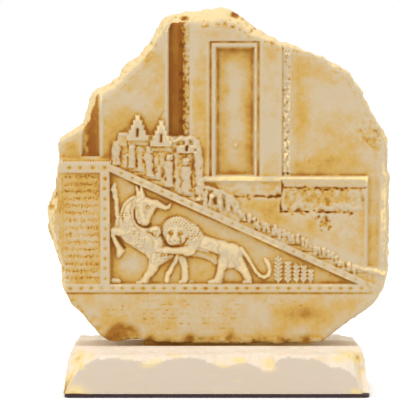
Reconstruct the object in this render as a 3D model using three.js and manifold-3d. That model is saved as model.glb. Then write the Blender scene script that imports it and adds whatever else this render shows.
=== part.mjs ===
// A cast souvenir relief: a slab with a broken edge, carved on its front with palace stairs, guards,
// a door and a lion seizing a bull, standing in the groove of a rough bar plinth with a felt pad.
// Millimetres. +X is the viewer's right, +Y is away from the viewer, +Z is up.
// Places on the front are given as x and z, and heights as rises above the wall's plane.
import * as THREE from 'three';
import { mergeVertices } from 'three/addons/utils/BufferGeometryUtils.js';
import Module from 'manifold-3d';

const wasm = await Module();
wasm.setup();

// Driving dimensions of the slab
const SLAB_THICKNESS = 24;
const SLAB_FRONT = -SLAB_THICKNESS / 2;
const SLAB_BACK = SLAB_THICKNESS / 2;
const CARVING_DEPTH = 4;
const WALL_Y = SLAB_FRONT + CARVING_DEPTH;
const SLAB_FOOT_Z = 29;

// The bands that frame the carving, level with the slab's front
const BOTTOM_BAND = { low: 57.2, high: 61.8 };
const STAIR_SLOPE = -0.4545;
const STAIR_BAND = { atCentre: 97.9, height: 4.6 };
const SIDE_BAND = { left: -65.6, right: -60.3 };
const LEFT_BAND = { low: 124.9, high: 130.2 };

// Rises of the plain faces
const INSCRIPTION_RISE = 2.8;
const LOWER_BLOCK_RISE = 3.4;
const PANEL_RISE = 0.5;
const BUILDING_RISE = 2.2;
const CORNICE_RISE = 3.3;
const GUARDS_RISE = 1.9;

// The door, its pilasters and the cornice
const DOOR = {
  left: -0.4, right: 20.9, low: 123.4, head: 194.9, fillet: 2.4, rightFillet: 1.8, groove: 1.3,
};
const DOOR_DEPTH = 1.5;
const DOOR_GROOVE_RISE = 0.8;
const PILASTERS = { left: -15.3, right: 36.7 };
const STRIP = { right: 41.2, rise: 1 };
const CORNICE = { left: -7.5, right: 85.3, low: 119.8, high: 122.7 };
const SECOND_COURSE = { left: 36.8, low: 116.6, rise: 2.8 };
const MASONRY_RIGHT = 85.3;
const RIGHT_RIM = { left: 91.3, rise: 0.9 };

// The wall left of the door: its foot, and the depths of the recesses cut into it
const WALL_LOW_Z = 133.4;
const LEFT_RECESS_DEPTH = 2.6;
const LEFT_SLOT_DEPTH = 5;
const DEEP_RECESS_DEPTH = 5.5;

// The plinth, its groove and the felt
const PLINTH_LENGTH = 172;
const PLINTH_DEPTH = 56;
const PLINTH_TOP_Z = 27;
const FRONT_BANK_Z = 27.2;
const BACK_BANK_Z = 28.9;
const BACK_BANK_FOOT_Z = 26;
const BACK_BANK_SLOPE = 7;
const GROOVE_WIDTH = 24.6;
const GROOVE_DEPTH = 5;
const PLINTH_TAPER = 0.0018;
const FRONT_BATTER = 0.1;
const FELT_THICKNESS = 1.7;
const JOINT_GAP = 0.3;
const TONGUE = { left: -56, right: 54, front: -9.4, back: 10.4, overlap: 4 };
const BANK_DROP_AT_ENDS = 3.5;
const FACE_TOP_Z = 19;
const FACE_SCALLOPS = { wide: 1.9, narrow: 1.3 };
const FACE_DROP_AT_ENDS = 15;

// The guards from left to right, each as x, foot and height
const GUARDS = [
  [-56.6, 129.4, 12.4], [-47.6, 127.6, 13.2], [-37.6, 122.6, 17.2], [-27.3, 117.6, 18.2],
  [-17.1, 113.2, 19.8], [-9.8, 109.2, 12.6],
];

// The trees from left to right, each as x, top and half its width
const TREES = [
  [34.7, 77, 2.1], [40.1, 74, 1.8], [45, 72.6, 1.6], [49.2, 71.2, 1.5], [53, 69.6, 1.4],
];

// Cutters and fields run this far past the slab
const BEYOND = 110;
const ABOVE = 240;

// The broken outline of the slab, clockwise from the lower left corner
const BROKEN_EDGE = [
  [-57, 29], [-63, 30], [-70, 37], [-77, 46], [-83, 51], [-86, 56], [-88, 62], [-86.7, 67],
  [-91, 80], [-94, 91], [-95, 102], [-92.5, 111], [-90, 117], [-89, 128], [-89, 140],
  [-85, 145], [-76, 151], [-74, 155], [-70, 167], [-67.5, 171], [-58, 175.5], [-52, 182],
  [-39, 195], [-31, 208], [-26, 212.5], [-10, 215], [2, 217.7], [12, 214.5], [16, 210],
  [24, 203], [38, 196], [56, 192], [65, 186], [75, 178], [81, 169], [87, 156], [94, 146],
  [95.5, 132], [96, 109], [95.5, 82], [95.8, 64], [92, 55], [87.5, 49], [77, 42], [70, 37],
  [62, 31], [58, 28.8], [30, 28.8], [0, 29], [-30, 29], [-43, 31.5], [-50, 30.4],
];
const EDGE_POINTS = 84;

// A repeatable number from -1 to 1 for a pair of whole numbers.
function roughness(i, j) {
  const s = Math.sin(i * 12.9898 + j * 78.233) * 43758.5453;
  return 2 * (s - Math.floor(s)) - 1;
}

// A smooth step from 0 at a to 1 at b.
function ease(a, b, v) {
  const t = THREE.MathUtils.clamp((v - a) / (b - a), 0, 1);
  return t * t * (3 - 2 * t);
}

// A closed geometry as a solid that can be joined and cut.
function solid(geometry) {
  geometry.deleteAttribute('normal');
  geometry.deleteAttribute('uv');
  const merged = mergeVertices(geometry, 1e-4);
  return new wasm.Manifold(new wasm.Mesh({
    numProp: 3,
    vertProperties: Float32Array.from(merged.attributes.position.array),
    triVerts: Uint32Array.from(merged.index.array),
  }));
}

// A solid as a named mesh.
function piece(body, name, colour, roughnessValue) {
  const result = body.getMesh();
  const geometry = new THREE.BufferGeometry();
  geometry.setAttribute('position', new THREE.BufferAttribute(result.vertProperties, 3));
  geometry.setIndex(new THREE.BufferAttribute(result.triVerts, 1));
  geometry.computeVertexNormals();
  const material = new THREE.MeshStandardMaterial({
    color: colour, roughness: roughnessValue, metalness: 0,
  });
  const mesh = new THREE.Mesh(geometry, material);
  mesh.name = name;
  return mesh;
}

// A straight prism of an outline in x and z between two depths.
function prism(outline, front, back, hole) {
  const shape = new THREE.Shape(outline.map(([x, z]) => new THREE.Vector2(x, z)));
  if (hole) {
    shape.holes.push(new THREE.Path(hole.map(([x, z]) => new THREE.Vector2(x, z))));
  }
  const geometry = new THREE.ExtrudeGeometry(shape, { depth: back - front, bevelEnabled: false });
  geometry.rotateX(Math.PI / 2);
  geometry.translate(0, back, 0);
  return solid(geometry);
}

function rectangle(left, low, right, high) {
  return [[left, low], [right, low], [right, high], [left, high]];
}

// A cutter that lowers everything in an outline to a rise.
function lowered(outline, rise, hole) {
  return prism(outline, SLAB_FRONT - 10, WALL_Y - rise, hole);
}

// A block that stands on the wall inside an outline.
function raised(outline, rise) {
  return prism(outline, WALL_Y - rise, WALL_Y + 3);
}

// A rounded, tapered bar from one end to the other, half of it proud of the ground.
// Each end is [x, z, radius], and the thicker end stands up by depth.
function limb([ax, az, ar], [bx, bz, br], ground, depth, sides = 10) {
  const length = Math.hypot(bx - ax, bz - az);
  const profile = [
    new THREE.Vector2(0, -ar),
    new THREE.Vector2(ar * Math.SQRT1_2, -ar * Math.SQRT1_2),
    new THREE.Vector2(ar, 0),
    new THREE.Vector2(br, length),
    new THREE.Vector2(br * Math.SQRT1_2, length + br * Math.SQRT1_2),
    new THREE.Vector2(0, length + br),
  ];
  const geometry = new THREE.LatheGeometry(profile, sides);
  geometry.scale(1, 1, depth / Math.max(ar, br));
  const ux = (bx - ax) / length;
  const uz = (bz - az) / length;
  const turn = new THREE.Matrix4().makeBasis(
    new THREE.Vector3(-uz, 0, ux), new THREE.Vector3(ux, 0, uz), new THREE.Vector3(0, 1, 0));
  geometry.applyMatrix4(turn);
  geometry.translate(ax, WALL_Y - ground, az);
  return solid(geometry);
}

// A chain of limbs through points [x, z, radius].
function chain(points, ground, depth, sides) {
  return points.slice(1).map((end, i) => limb(points[i], end, ground, depth, sides));
}

// A flattened ball for lumps and, as a cutter, for chips.
function ball(x, z, rx, rz, y, depth, sides = 9) {
  const geometry = new THREE.SphereGeometry(1, sides, 6);
  geometry.rotateX(Math.PI / 2);
  geometry.scale(rx, depth, rz);
  geometry.translate(x, y, z);
  return solid(geometry);
}

function join(list) {
  return wasm.Manifold.union(list);
}

// Points at equal steps along a closed clockwise outline, returned anticlockwise.
function evenPoints(outline, count) {
  const path = new THREE.Path(outline.map(([x, z]) => new THREE.Vector2(x, z)));
  path.closePath();
  return path.getSpacedPoints(count).slice(0, count).reverse();
}

// How far the front arris lies inside the outline: wide along the broken top and the left side.
function arrisInset(x, z) {
  const top = 5.5 * ease(188, 202, z) * ease(34, 20, x);
  const left = 3.5 * ease(-82, -89, x) * ease(120, 105, z);
  const upperLeft = 1.5 * ease(140, 150, z) * ease(-30, -45, x);
  return 1.4 + top + left + upperLeft;
}

// A closed solid through rings of equal size. The first ring is anticlockwise as seen from outside,
// and flat is its outline in two coordinates.
function loft(rings, flat) {
  const size = rings[0].length;
  const faces = THREE.ShapeUtils.triangulateShape(flat, []);
  const positions = rings.flat().flatMap((p) => [p.x, p.y, p.z]);
  const index = [];
  for (let r = 0; r + 1 < rings.length; r += 1) {
    for (let i = 0; i < size; i += 1) {
      const a = r * size + i;
      const b = r * size + ((i + 1) % size);
      index.push(a, a + size, b, b, a + size, b + size);
    }
  }
  const last = (rings.length - 1) * size;
  for (const [a, b, c] of faces) {
    index.push(a, b, c);
    index.push(last + a, last + c, last + b);
  }
  const geometry = new THREE.BufferGeometry();
  geometry.setAttribute('position', new THREE.Float32BufferAttribute(positions, 3));
  geometry.setIndex(index);
  return geometry;
}

// The uncarved slab: rough sides between an inset front arris and a chipped back.
function blank() {
  const edge = evenPoints(BROKEN_EDGE, EDGE_POINTS);
  const normals = edge.map((p, i) => {
    const before = edge[(i + EDGE_POINTS - 1) % EDGE_POINTS];
    const after = edge[(i + 1) % EDGE_POINTS];
    const along = after.clone().sub(before).normalize();
    return new THREE.Vector2(-along.y, along.x);
  });
  const levels = [
    { y: SLAB_FRONT, share: 1, rough: 0.3 },
    { y: SLAB_FRONT + 8, share: 0.25, rough: 0.5 },
    { y: SLAB_FRONT + 15, share: 0, rough: 0.3 },
    { y: SLAB_BACK, share: 0.35, rough: 0.8 },
  ];
  const rings = levels.map(({ y, share, rough }, level) => edge.map((p, i) => {
    const inset = share * arrisInset(p.x, p.y) + rough * (1 + roughness(i, level));
    return new THREE.Vector3(p.x + normals[i].x * inset, y, p.y + normals[i].y * inset);
  }));
  return solid(loft(rings, edge));
}

function stairTop(x) {
  return STAIR_BAND.atCentre + STAIR_BAND.height + STAIR_SLOPE * x;
}

function stairLow(x) {
  return STAIR_BAND.atCentre + STAIR_SLOPE * x;
}

// The sunk fields of the front.
function fields() {
  const panelRight = (BOTTOM_BAND.high - STAIR_BAND.atCentre) / STAIR_SLOPE;
  const filletHead = DOOR.head + DOOR.fillet;
  const filletLeft = DOOR.left - DOOR.fillet;
  const filletRight = DOOR.right + DOOR.rightFillet;
  const building = [[-BEYOND, LEFT_BAND.high], [-59.6, LEFT_BAND.high],
    [MASONRY_RIGHT, stairTop(MASONRY_RIGHT)], [BEYOND, stairTop(BEYOND)], [BEYOND, ABOVE],
    [-BEYOND, ABOVE]];
  const leftRecess = [[-74.6, 136], [-72, WALL_LOW_Z], [-68.5, WALL_LOW_Z], [-66.2, 136],
    [-66.2, 185], [-78, 185], [-74.6, 152]];
  const leftSlot = [[-74.2, 136], [-72, 133.6], [-68.5, 133.6], [-66.6, 136], [-66.6, 148],
    [-74.2, 151]];
  const deepRecess = [[-26.8, 149], [-24, 145.6], [-20, 145.6], [-19.6, 204], [-21.5, 209.5],
    [-26.8, 206]];
  const doorGroove = rectangle(filletLeft - DOOR.groove, CORNICE.high + 0.2,
    filletRight + DOOR.groove, filletHead + DOOR.groove);
  const doorFillet = rectangle(filletLeft, DOOR.low, filletRight, filletHead);
  const animals = [[SIDE_BAND.right, BOTTOM_BAND.high], [panelRight, BOTTOM_BAND.high],
    [SIDE_BAND.right, stairLow(SIDE_BAND.right)]];
  const lowerBlockTop = BOTTOM_BAND.low - 1.4;
  return [
    lowered(building, BUILDING_RISE),
    lowered(rectangle(-BEYOND, WALL_LOW_Z, PILASTERS.left, ABOVE), 0),
    lowered(leftRecess, -LEFT_RECESS_DEPTH),
    lowered(leftSlot, -LEFT_SLOT_DEPTH),
    lowered(deepRecess, -DEEP_RECESS_DEPTH),
    lowered(doorGroove, DOOR_GROOVE_RISE, doorFillet),
    lowered(rectangle(DOOR.left, DOOR.low, DOOR.right, DOOR.head), -DOOR_DEPTH),
    lowered(rectangle(PILASTERS.right, CORNICE.high, STRIP.right, ABOVE), STRIP.rise),
    lowered(rectangle(STRIP.right, CORNICE.high, BEYOND, ABOVE), 0),
    lowered(rectangle(MASONRY_RIGHT, 70, RIGHT_RIM.left + 0.1, CORNICE.high + 1), 0),
    lowered(rectangle(RIGHT_RIM.left, 70, BEYOND, CORNICE.high + 1), RIGHT_RIM.rise),
    lowered(rectangle(-BEYOND, BOTTOM_BAND.high, SIDE_BAND.left, LEFT_BAND.low), INSCRIPTION_RISE),
    lowered(animals, PANEL_RISE),
    lowered(rectangle(-BEYOND, 0, BEYOND, lowerBlockTop + 0.1), LOWER_BLOCK_RISE),
    lowered(rectangle(-85, lowerBlockTop, 87, BOTTOM_BAND.low), 2.4),
  ];
}

// Chips and worn hollows as cutters.
function chips() {
  const y = WALL_Y - LOWER_BLOCK_RISE;
  return [
    ball(-54, 33.5, 9.5, 5, y, 2.2),
    ball(-15, 30, 3.4, 3, y, 2),
    ball(8, 31, 3.2, 4.5, y, 1.6),
    ball(49, 30, 4, 3, y, 1.6),
    ball(60.5, 97, 3.6, 5.6, WALL_Y - BUILDING_RISE, 1.8),
    ball(85, 145, 4.4, 7.5, WALL_Y, 2.4),
    ball(10.4, 212.6, 2.4, 1.8, WALL_Y + 2, 3),
    ball(20.5, 203, 1.6, 1.4, WALL_Y - 1, 2.4),
  ];
}

// The cornice and the course under it.
function masonry() {
  return [
    raised(rectangle(CORNICE.left, CORNICE.low, CORNICE.right, CORNICE.high), CORNICE_RISE),
    raised(rectangle(SECOND_COURSE.left, SECOND_COURSE.low, CORNICE.right, CORNICE.low),
      SECOND_COURSE.rise),
  ];
}

// A stepped battlement with a loophole.
function merlon(x, low, halfWidth, height, steps) {
  const rise = CARVING_DEPTH - 0.1;
  const left = [];
  const right = [];
  for (let i = 0; i < steps; i += 1) {
    const half = halfWidth * (1 - (0.78 * i) / (steps - 1));
    const from = low + (height * i) / steps;
    const to = low + (height * (i + 1)) / steps;
    right.push([x + half, from], [x + half, to]);
    left.push([x - half, from], [x - half, to]);
  }
  const body = raised(right.concat(left.reverse()), rise);
  const loopholeRise = rise - 2;
  const hole = lowered(rectangle(x - 0.8, low + 0.12 * height, x + 0.7, low + 0.45 * height),
    loopholeRise);
  return body.subtract(hole);
}

// A standing guard: robe, shoulders and head.
function guard(x, foot, height) {
  const ground = GUARDS_RISE;
  return [
    limb([x, foot + 2, 2.7], [x, foot + 0.6 * height, 1.9], ground, 1.7, 8),
    limb([x - 0.7, foot + 0.66 * height, 2], [x + 0.7, foot + 0.66 * height, 2], ground, 1.8, 6),
    limb([x, foot + height - 2.2, 1.3], [x, foot + height - 1.3, 1.4], ground, 1.9, 8),
  ];
}

// The block with the battlements, the guards on its steps and its rounded right rim.
function guardsBlock() {
  const ground = raised([[-59.3, 129.7], [-8, stairTop(-8) + 0.1], [-8, 121], [-8.5, 136],
    [-10.5, 141], [-13.5, 145], [-23, 143.4], [-26, 145.4], [-37.5, 146], [-50, 146.6],
    [-55.3, 146.6], [-55.5, 143], [-58.2, 142.3], [-59.2, 137]], GUARDS_RISE);
  return [
    ground,
    merlon(-44.6, 143, 6.2, 14, 5),
    merlon(-31.3, 140, 6, 14, 5),
    merlon(-16.8, 136, 6, 8.4, 2),
    ...chain([[-9.7, 128, 1.1], [-9.7, 138, 1.2], [-13, 143.6, 1.1]], GUARDS_RISE, 1.9, 8),
    ...GUARDS.flatMap(([x, foot, height]) => guard(x, foot, height)),
  ];
}

// The small figures that climb the stairs, three to a step, and the larger ones above them.
function climbers() {
  const tier = raised([[-8.2, stairTop(-8.2) + 0.1], [13, stairTop(13) + 0.1], [12.6, 105], [11.8, 108],
    [8, 112.2], [3, 114.8], [-4, 117], [-8.2, 118]], GUARDS_RISE + 0.4);
  const parts = [tier];
  const large = [[-3.3, 106, 114], [2.4, 104.5, 113], [7, 103.5, 110.6], [10.8, 102.5, 107.5]];
  for (const [x, low, high] of large) {
    parts.push(limb([x, low, 2.1], [x, high, 1.7], GUARDS_RISE, 1.9, 8));
  }
  const tread = 9.2;
  for (let step = 0; step < 8; step += 1) {
    const left = 13.4 + step * tread;
    const foot = stairTop(left + tread) + 0.7;
    const height = 7.6 - 0.36 * step;
    const outline = [[left, stairTop(left) - 0.1], [left + tread, stairTop(left + tread) - 0.1],
      [left + tread, foot + height * 0.55], [left, foot + height * 0.95]];
    parts.push(raised(outline, GUARDS_RISE + 0.3));
    for (let k = 0; k < 3; k += 1) {
      const x = left + 1.6 + k * 3.05;
      const lean = 0.25 * height * (1 - k / 2);
      parts.push(limb([x, foot + 1.3, 1.25], [x, foot + height * 0.62 + lean, 1], GUARDS_RISE, 1.5, 6));
    }
  }
  return parts;
}

// A slim tree whose paired leaves point up.
function tree(x, top, halfWidth) {
  const pairs = 5;
  const low = BOTTOM_BAND.high - 0.2;
  const pitch = (top - low - 2) / pairs;
  const right = [[x + 0.7, low], [x + 0.7, low + 2]];
  for (let i = 0; i < pairs; i += 1) {
    const z = low + 2 + i * pitch;
    right.push([x + halfWidth * (1 - 0.08 * i), z + pitch * 0.8], [x + 0.8, z + pitch]);
  }
  const left = right.map(([px, pz]) => [2 * x - px, pz]).reverse();
  return raised(right.concat([[x, top + 1]], left), 2.2);
}

// The bull, rearing and looking at the viewer.
function bull() {
  const g = PANEL_RISE;
  return [
    limb([-45.5, 102.3, 8.4], [-48, 91.7, 8.1], g, 2.9, 16),
    limb([-47.5, 91, 7.6], [-37, 84.6, 7.2], g, 2.9, 14),
    limb([-36.5, 83.5, 6.4], [-34.8, 75.5, 4.3], g, 2.9, 12),
    limb([-40.8, 105.4, 5.6], [-41, 98.7, 3.5], g + 0.9, 2.5, 12),
    limb([-44, 108.3, 2.9], [-34.6, 107.3, 2.1], g + 1, 2),
    ...chain([[-33.5, 107.3, 1.7], [-30, 105.1, 1.2], [-27.4, 105.3, 1], [-26.3, 107.3, 0.5]],
      g, 2.2, 8),
    ...chain([[-42.7, 110.5, 1.9], [-42.3, 116.6, 0.8]], g, 2.4, 8),
    ...chain([[-43.6, 112, 1.2], [-45.3, 117, 0.6]], g, 2, 8),
    limb([-50.5, 90.4, 3.9], [-57.3, 91.3, 2.5], g, 2.6),
    ...chain([[-58.2, 90.3, 1.9], [-55, 82, 1.5], [-54.9, 78.6, 1.7]], g, 2.1, 8),
    limb([-54.6, 79.6, 1.5], [-52.8, 80.2, 0.9], g, 1.5, 8),
    ...chain([[-34.8, 75, 4.1], [-36, 70.8, 3], [-39.2, 66, 2], [-40.6, 63.6, 1.6]], g, 2.4),
    limb([-40.4, 63.3, 1.5], [-45, 62.8, 0.8], g, 1.7, 8),
    ...chain([[-20.8, 78, 2.9], [-18, 71, 1.9], [-18, 65, 2]], g, 2.1, 8),
    limb([-18.2, 63.9, 1.9], [-20.4, 62.9, 1.1], g, 1.9, 8),
    ...chain([[-22, 78.5, 1.2], [-23.9, 73.2, 1.2], [-27, 68.6, 1.2], [-28.2, 64, 1.5]], g, 2, 8),
  ];
}

// The lion, frontal head with a collar of locks, body stretched along the stairs.
function lion() {
  const g = PANEL_RISE;
  const locks = [];
  const lockCount = 9;
  for (let i = 0; i < lockCount; i += 1) {
    const angle = THREE.MathUtils.degToRad(185 - i * 24);
    const x = -21 + 8.6 * Math.cos(angle);
    const z = 92 + 7.4 * Math.sin(angle);
    locks.push(ball(x, z, 2, 1.9, WALL_Y - g - 1.2, 2, 6));
  }
  return [
    limb([-22.2, 91.6, 8.4], [-14.5, 88.4, 7.2], g, 2.7, 14),
    ...locks,
    limb([-23.9, 92.9, 5.2], [-24, 88.6, 4.3], g + 1.2, 2.3, 12),
    limb([-25.2, 90.2, 1.9], [-25.3, 87.2, 2.2], g + 2, 1.5, 8),
    limb([-11.5, 85.3, 4.9], [4, 81.6, 4.4], g, 2.9, 12),
    limb([8, 79, 6.4], [7.6, 76.8, 6.4], g, 3, 14),
    limb([-12.8, 85.5, 4.6], [-14.4, 81.6, 3.2], g, 3.1),
    limb([-15.8, 81, 2.3], [-29.5, 81, 2.1], g + 1, 2.4),
    limb([-29.5, 80.9, 2.2], [-33.6, 80.3, 1.9], g + 1.2, 2.2, 8),
    limb([-37.6, 92.7, 1], [-33, 93, 1.3], g, 2.6, 8),
    limb([-9.8, 79.4, 2.8], [-1, 76.8, 2.4], g, 1.2, 8),
    ...chain([[3.8, 74.5, 3.5], [2.1, 68.2, 2.2], [0.2, 64.8, 1.7]], g, 2.5),
    limb([-0.2, 63.6, 1.5], [-4.2, 62.9, 0.9], g, 1.9, 8),
    ...chain([[12, 74.6, 3.5], [15.6, 69.4, 2.4], [18.2, 64.6, 1.8]], g, 2.5),
    limb([18.2, 63.6, 1.6], [15.4, 62.9, 0.9], g, 1.9, 8),
    ...chain([[14.2, 81.3, 1.3], [17.6, 76.8, 1.1], [20.6, 71.4, 1], [23.6, 66.9, 1], [27, 65.4, 1],
      [29.4, 67.6, 1], [29.6, 71, 1.1], [28.1, 74, 1.3]], g, 1.9, 8),
  ];
}

// The bud on its stem and the small block at the panel's left edge.
function bud() {
  const g = PANEL_RISE;
  return [
    ...chain([[-56.2, 94.5, 1.3], [-56.6, 110, 1.1]], g, 1.7, 8),
    limb([-57.5, 112, 1.3], [-57.6, 116.2, 1.7], g, 2, 8),
    raised(rectangle(-59, BOTTOM_BAND.high - 0.2, -55, 65.3), 2),
  ];
}

function reliefSlab() {
  const tongue = prism(rectangle(TONGUE.left, PLINTH_TOP_Z - GROOVE_DEPTH + JOINT_GAP,
    TONGUE.right, SLAB_FOOT_Z + TONGUE.overlap), TONGUE.front, TONGUE.back);
  const ground = blank().subtract(join([...fields(), ...chips()])).add(tongue);
  return join([
    ground,
    ...masonry(),
    ...guardsBlock(),
    ...climbers(),
    ...bull(),
    ...lion(),
    ...bud(),
    ...TREES.map(([x, top, half]) => tree(x, top, half)),
  ]);
}

// Height of the smooth front face's chipped upper edge at x.
function faceTop(x) {
  const wide = FACE_SCALLOPS.wide * Math.sin(x / 5.6);
  const narrow = FACE_SCALLOPS.narrow * Math.sin(x / 3.1 + 1.2);
  return FACE_TOP_Z + wide + narrow - FACE_DROP_AT_ENDS * ease(60, 84, Math.abs(x + 1));
}

// The plinth: a bar with sloping rough ends, a smooth front face and an open groove along its top.
function plinth() {
  const stations = 26;
  const bottom = FELT_THICKNESS + JOINT_GAP;
  const half = PLINTH_DEPTH / 2;
  const lip = GROOVE_WIDTH / 2;
  const floor = PLINTH_TOP_Z - GROOVE_DEPTH;
  const rings = [];
  for (let i = 0; i <= stations; i += 1) {
    const x = PLINTH_LENGTH * (0.5 - i / stations);
    const face = THREE.MathUtils.clamp(faceTop(x), bottom + 2, PLINTH_TOP_Z - 3);
    const n = (k) => roughness(i, k + 20);
    const bankDrop = BANK_DROP_AT_ENDS * (ease(-78, -86, x) + ease(76, 86, x));
    const section = [
      [-half, bottom],
      [-half + FRONT_BATTER * (face - bottom), face],
      [-22.4 + 0.6 * n(1), PLINTH_TOP_Z - 1.6 + 0.4 * n(2)],
      [-17.5, PLINTH_TOP_Z + 0.25 * n(3)],
      [-lip, FRONT_BANK_Z],
      [-lip, floor],
      [lip, floor],
      [lip, BACK_BANK_FOOT_Z - 0.5 * bankDrop],
      [lip + BACK_BANK_SLOPE, BACK_BANK_Z - 0.4 - bankDrop],
      [20.8, BACK_BANK_Z - 0.3 + 0.3 * n(4) - bankDrop],
      [22.5 + 0.7 * n(5), BACK_BANK_Z - 1.4 + 0.5 * n(6) - bankDrop],
      [25.6 + 0.6 * n(7), 17 + 1.5 * n(8)],
      [half - 0.6 + 0.5 * n(9), 9],
      [half - 0.3, bottom],
    ];
    rings.push(section.reverse().map(([y, z]) => {
      const narrowed = x * (1 - PLINTH_TAPER * (z - bottom));
      return new THREE.Vector3(narrowed, y, z);
    }));
  }
  return solid(loft(rings, rings[0].map((p) => new THREE.Vector2(p.y, p.z))));
}

// The felt under the plinth, with rounded corners.
function felt() {
  const inset = 0.6;
  const x = PLINTH_LENGTH / 2 - inset;
  const y = PLINTH_DEPTH / 2;
  const r = 3;
  const shape = new THREE.Shape();
  shape.absarc(x - r, y - r, r, 0, Math.PI / 2);
  shape.absarc(-x + r, y - r, r, Math.PI / 2, Math.PI);
  shape.absarc(-x + r, -y + r, r, Math.PI, 1.5 * Math.PI);
  shape.absarc(x - r, -y + r, r, 1.5 * Math.PI, 2 * Math.PI);
  const geometry = new THREE.ExtrudeGeometry(shape, {
    depth: FELT_THICKNESS, bevelEnabled: false, curveSegments: 3,
  });
  return solid(geometry);
}

const group = new THREE.Group();
group.add(piece(reliefSlab(), 'relief_slab', 0xd2bb98, 0.75));
group.add(piece(plinth(), 'plinth', 0xe6d3b8, 0.75));
group.add(piece(felt(), 'felt_pad', 0x4d4044, 0.95));

export default group;
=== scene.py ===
# A cast souvenir relief with a broken edge: palace stairs with guards, a door, and a lion seizing
# a bull, standing in the groove of a rough bar plinth with a felt pad. Metres in the scene, and
# millimetres in the maps of the carved front. +X is right, +Y is away from the viewer, +Z is up.
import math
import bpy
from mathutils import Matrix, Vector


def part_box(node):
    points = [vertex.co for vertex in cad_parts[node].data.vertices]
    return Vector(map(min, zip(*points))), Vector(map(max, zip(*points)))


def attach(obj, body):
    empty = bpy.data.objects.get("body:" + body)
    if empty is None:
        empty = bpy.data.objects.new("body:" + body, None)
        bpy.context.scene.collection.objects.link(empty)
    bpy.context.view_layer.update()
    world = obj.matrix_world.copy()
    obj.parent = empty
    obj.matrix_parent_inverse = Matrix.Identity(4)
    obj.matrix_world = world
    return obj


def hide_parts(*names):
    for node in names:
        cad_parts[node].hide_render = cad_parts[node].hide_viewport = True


bl_info = {
    "name": "Palace stair relief",
    "version": (1, 0, 0),
    "blender": (4, 5, 0),
    "location": "3D View > Sidebar > Relief",
    "description": "A cast relief with a broken edge, its bar plinth, felt pad and stage",
    "category": "Object",
}

import bmesh
import bpy
import numpy as np
from bpy.props import FloatProperty, FloatVectorProperty, IntProperty, PointerProperty
from mathutils import Matrix, Vector

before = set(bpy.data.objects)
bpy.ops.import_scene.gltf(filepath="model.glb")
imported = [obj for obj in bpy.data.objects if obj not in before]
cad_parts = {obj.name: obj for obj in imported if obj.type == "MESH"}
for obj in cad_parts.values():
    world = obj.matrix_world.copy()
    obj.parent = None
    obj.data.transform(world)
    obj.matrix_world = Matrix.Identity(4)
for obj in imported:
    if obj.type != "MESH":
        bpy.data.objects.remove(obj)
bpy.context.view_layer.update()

MM = 0.001
SLAB_LOW, SLAB_HIGH = (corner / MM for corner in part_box("relief_slab"))
PLINTH_LOW, PLINTH_HIGH = (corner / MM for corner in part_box("plinth"))
FELT_LOW, FELT_HIGH = (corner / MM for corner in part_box("felt_pad"))

# Stage, in metres and millimetres of film
FLOOR_SIZE = 6
CAMERA_REACH = 20
SENSOR_WIDTH = 36

# Depths of the slab, and the tongue that stands in the groove
SLAB_FRONT, SLAB_BACK = round(SLAB_LOW.y, 3), round(SLAB_HIGH.y, 3)
CARVING_DEPTH = 4
WALL_Y = SLAB_FRONT + CARVING_DEPTH
SLAB_FOOT_Z = 29
TONGUE_X, TONGUE_Y = (-41, 53), (-7.4, 10.4)

# Rises of the plain faces over the wall
BAND = CARVING_DEPTH
INSCRIPTION = 2.8
LOWER_BLOCK = 3.4
PANEL = 1.1
BUILDING = 2.2
CORNICE = 3.3
GUARDS = 1.9
DOOR_PANEL = -1.5
RECESS = -4.8
NOTHING = -9

# Lines that the fields share: the bottom, side and left bands, the stairs and the masonry
BAND_LOW, BAND_HIGH = 57.2, 61.8
SIDE_LEFT, SIDE_RIGHT = -65.6, -60.3
LEFT_LOW, LEFT_HIGH = 124.9, 130.2
STAIR_SLOPE = -0.4545
STAIR_FOOT = 97.9
STAIR_HEIGHT = 4.6
MASONRY_RIGHT = 85.3
CORNICE_LOW, CORNICE_HIGH = 119.9, 122.7
OUT, ABOVE = 120, 240

# The broken outline of the slab, clockwise from the lower left corner
BROKEN_EDGE = [(-57, 29), (-63, 30), (-70, 37), (-77, 46), (-83, 51), (-86, 56), (-88, 62), (-86.7, 67),
    (-91, 80), (-94, 91), (-95, 102), (-92.5, 111), (-90, 117), (-89, 128), (-89, 140), (-85, 145),
    (-76, 151), (-74, 155), (-70, 167), (-67.5, 171), (-58, 175.5), (-52, 182), (-39, 195), (-31, 208),
    (-26, 212.5), (-10, 215), (2, 217.7), (12, 214.5), (16, 210), (24, 203), (38, 196), (56, 192),
    (65, 186), (75, 178), (81, 169), (87, 156), (94, 146), (95.5, 132), (96, 109), (95.5, 82), (95.8, 64),
    (92, 55), (87.5, 49), (77, 42), (70, 37), (62, 31), (58, 28.8), (30, 28.8), (0, 29), (-30, 29),
    (-43, 31.5), (-50, 30.4)]


def clamped(value):
    return np.clip(value, 0, 1)


def smooth(value):
    """A smooth step from 0 to 1 over the values 0 to 1."""
    t = clamped(value)
    return t * t * (3 - 2 * t)


def ease(a, b, value):
    return smooth((value - a) / (b - a))


def bell(value):
    return np.exp(-value ** 2)


def fade(distance, reach):
    """1 up to an edge, and less and less beyond it."""
    return np.exp(-np.clip(distance, 0, None) / reach)


def spot(x, z, px, pz, rx, rz):
    """A soft oval spot at px, pz."""
    return np.exp(-((x - px) / rx) ** 2 - ((z - pz) / rz) ** 2)


def along(line, x):
    """The height of a line of points at each x."""
    return np.interp(x, *zip(*line))


def lattice(ix, iy, iz, seed):
    """A repeatable number from 0 to 1 at each whole-number point."""
    mixed = (ix * 374761393 + iy * 668265263 + iz * 362437 + seed * 974634777) & 0xFFFFFFFF
    mixed = ((mixed ^ (mixed >> 13)) * 1274126177) & 0xFFFFFFFF
    return ((mixed ^ (mixed >> 16)) & 0xFFFF) / 65535


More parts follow.
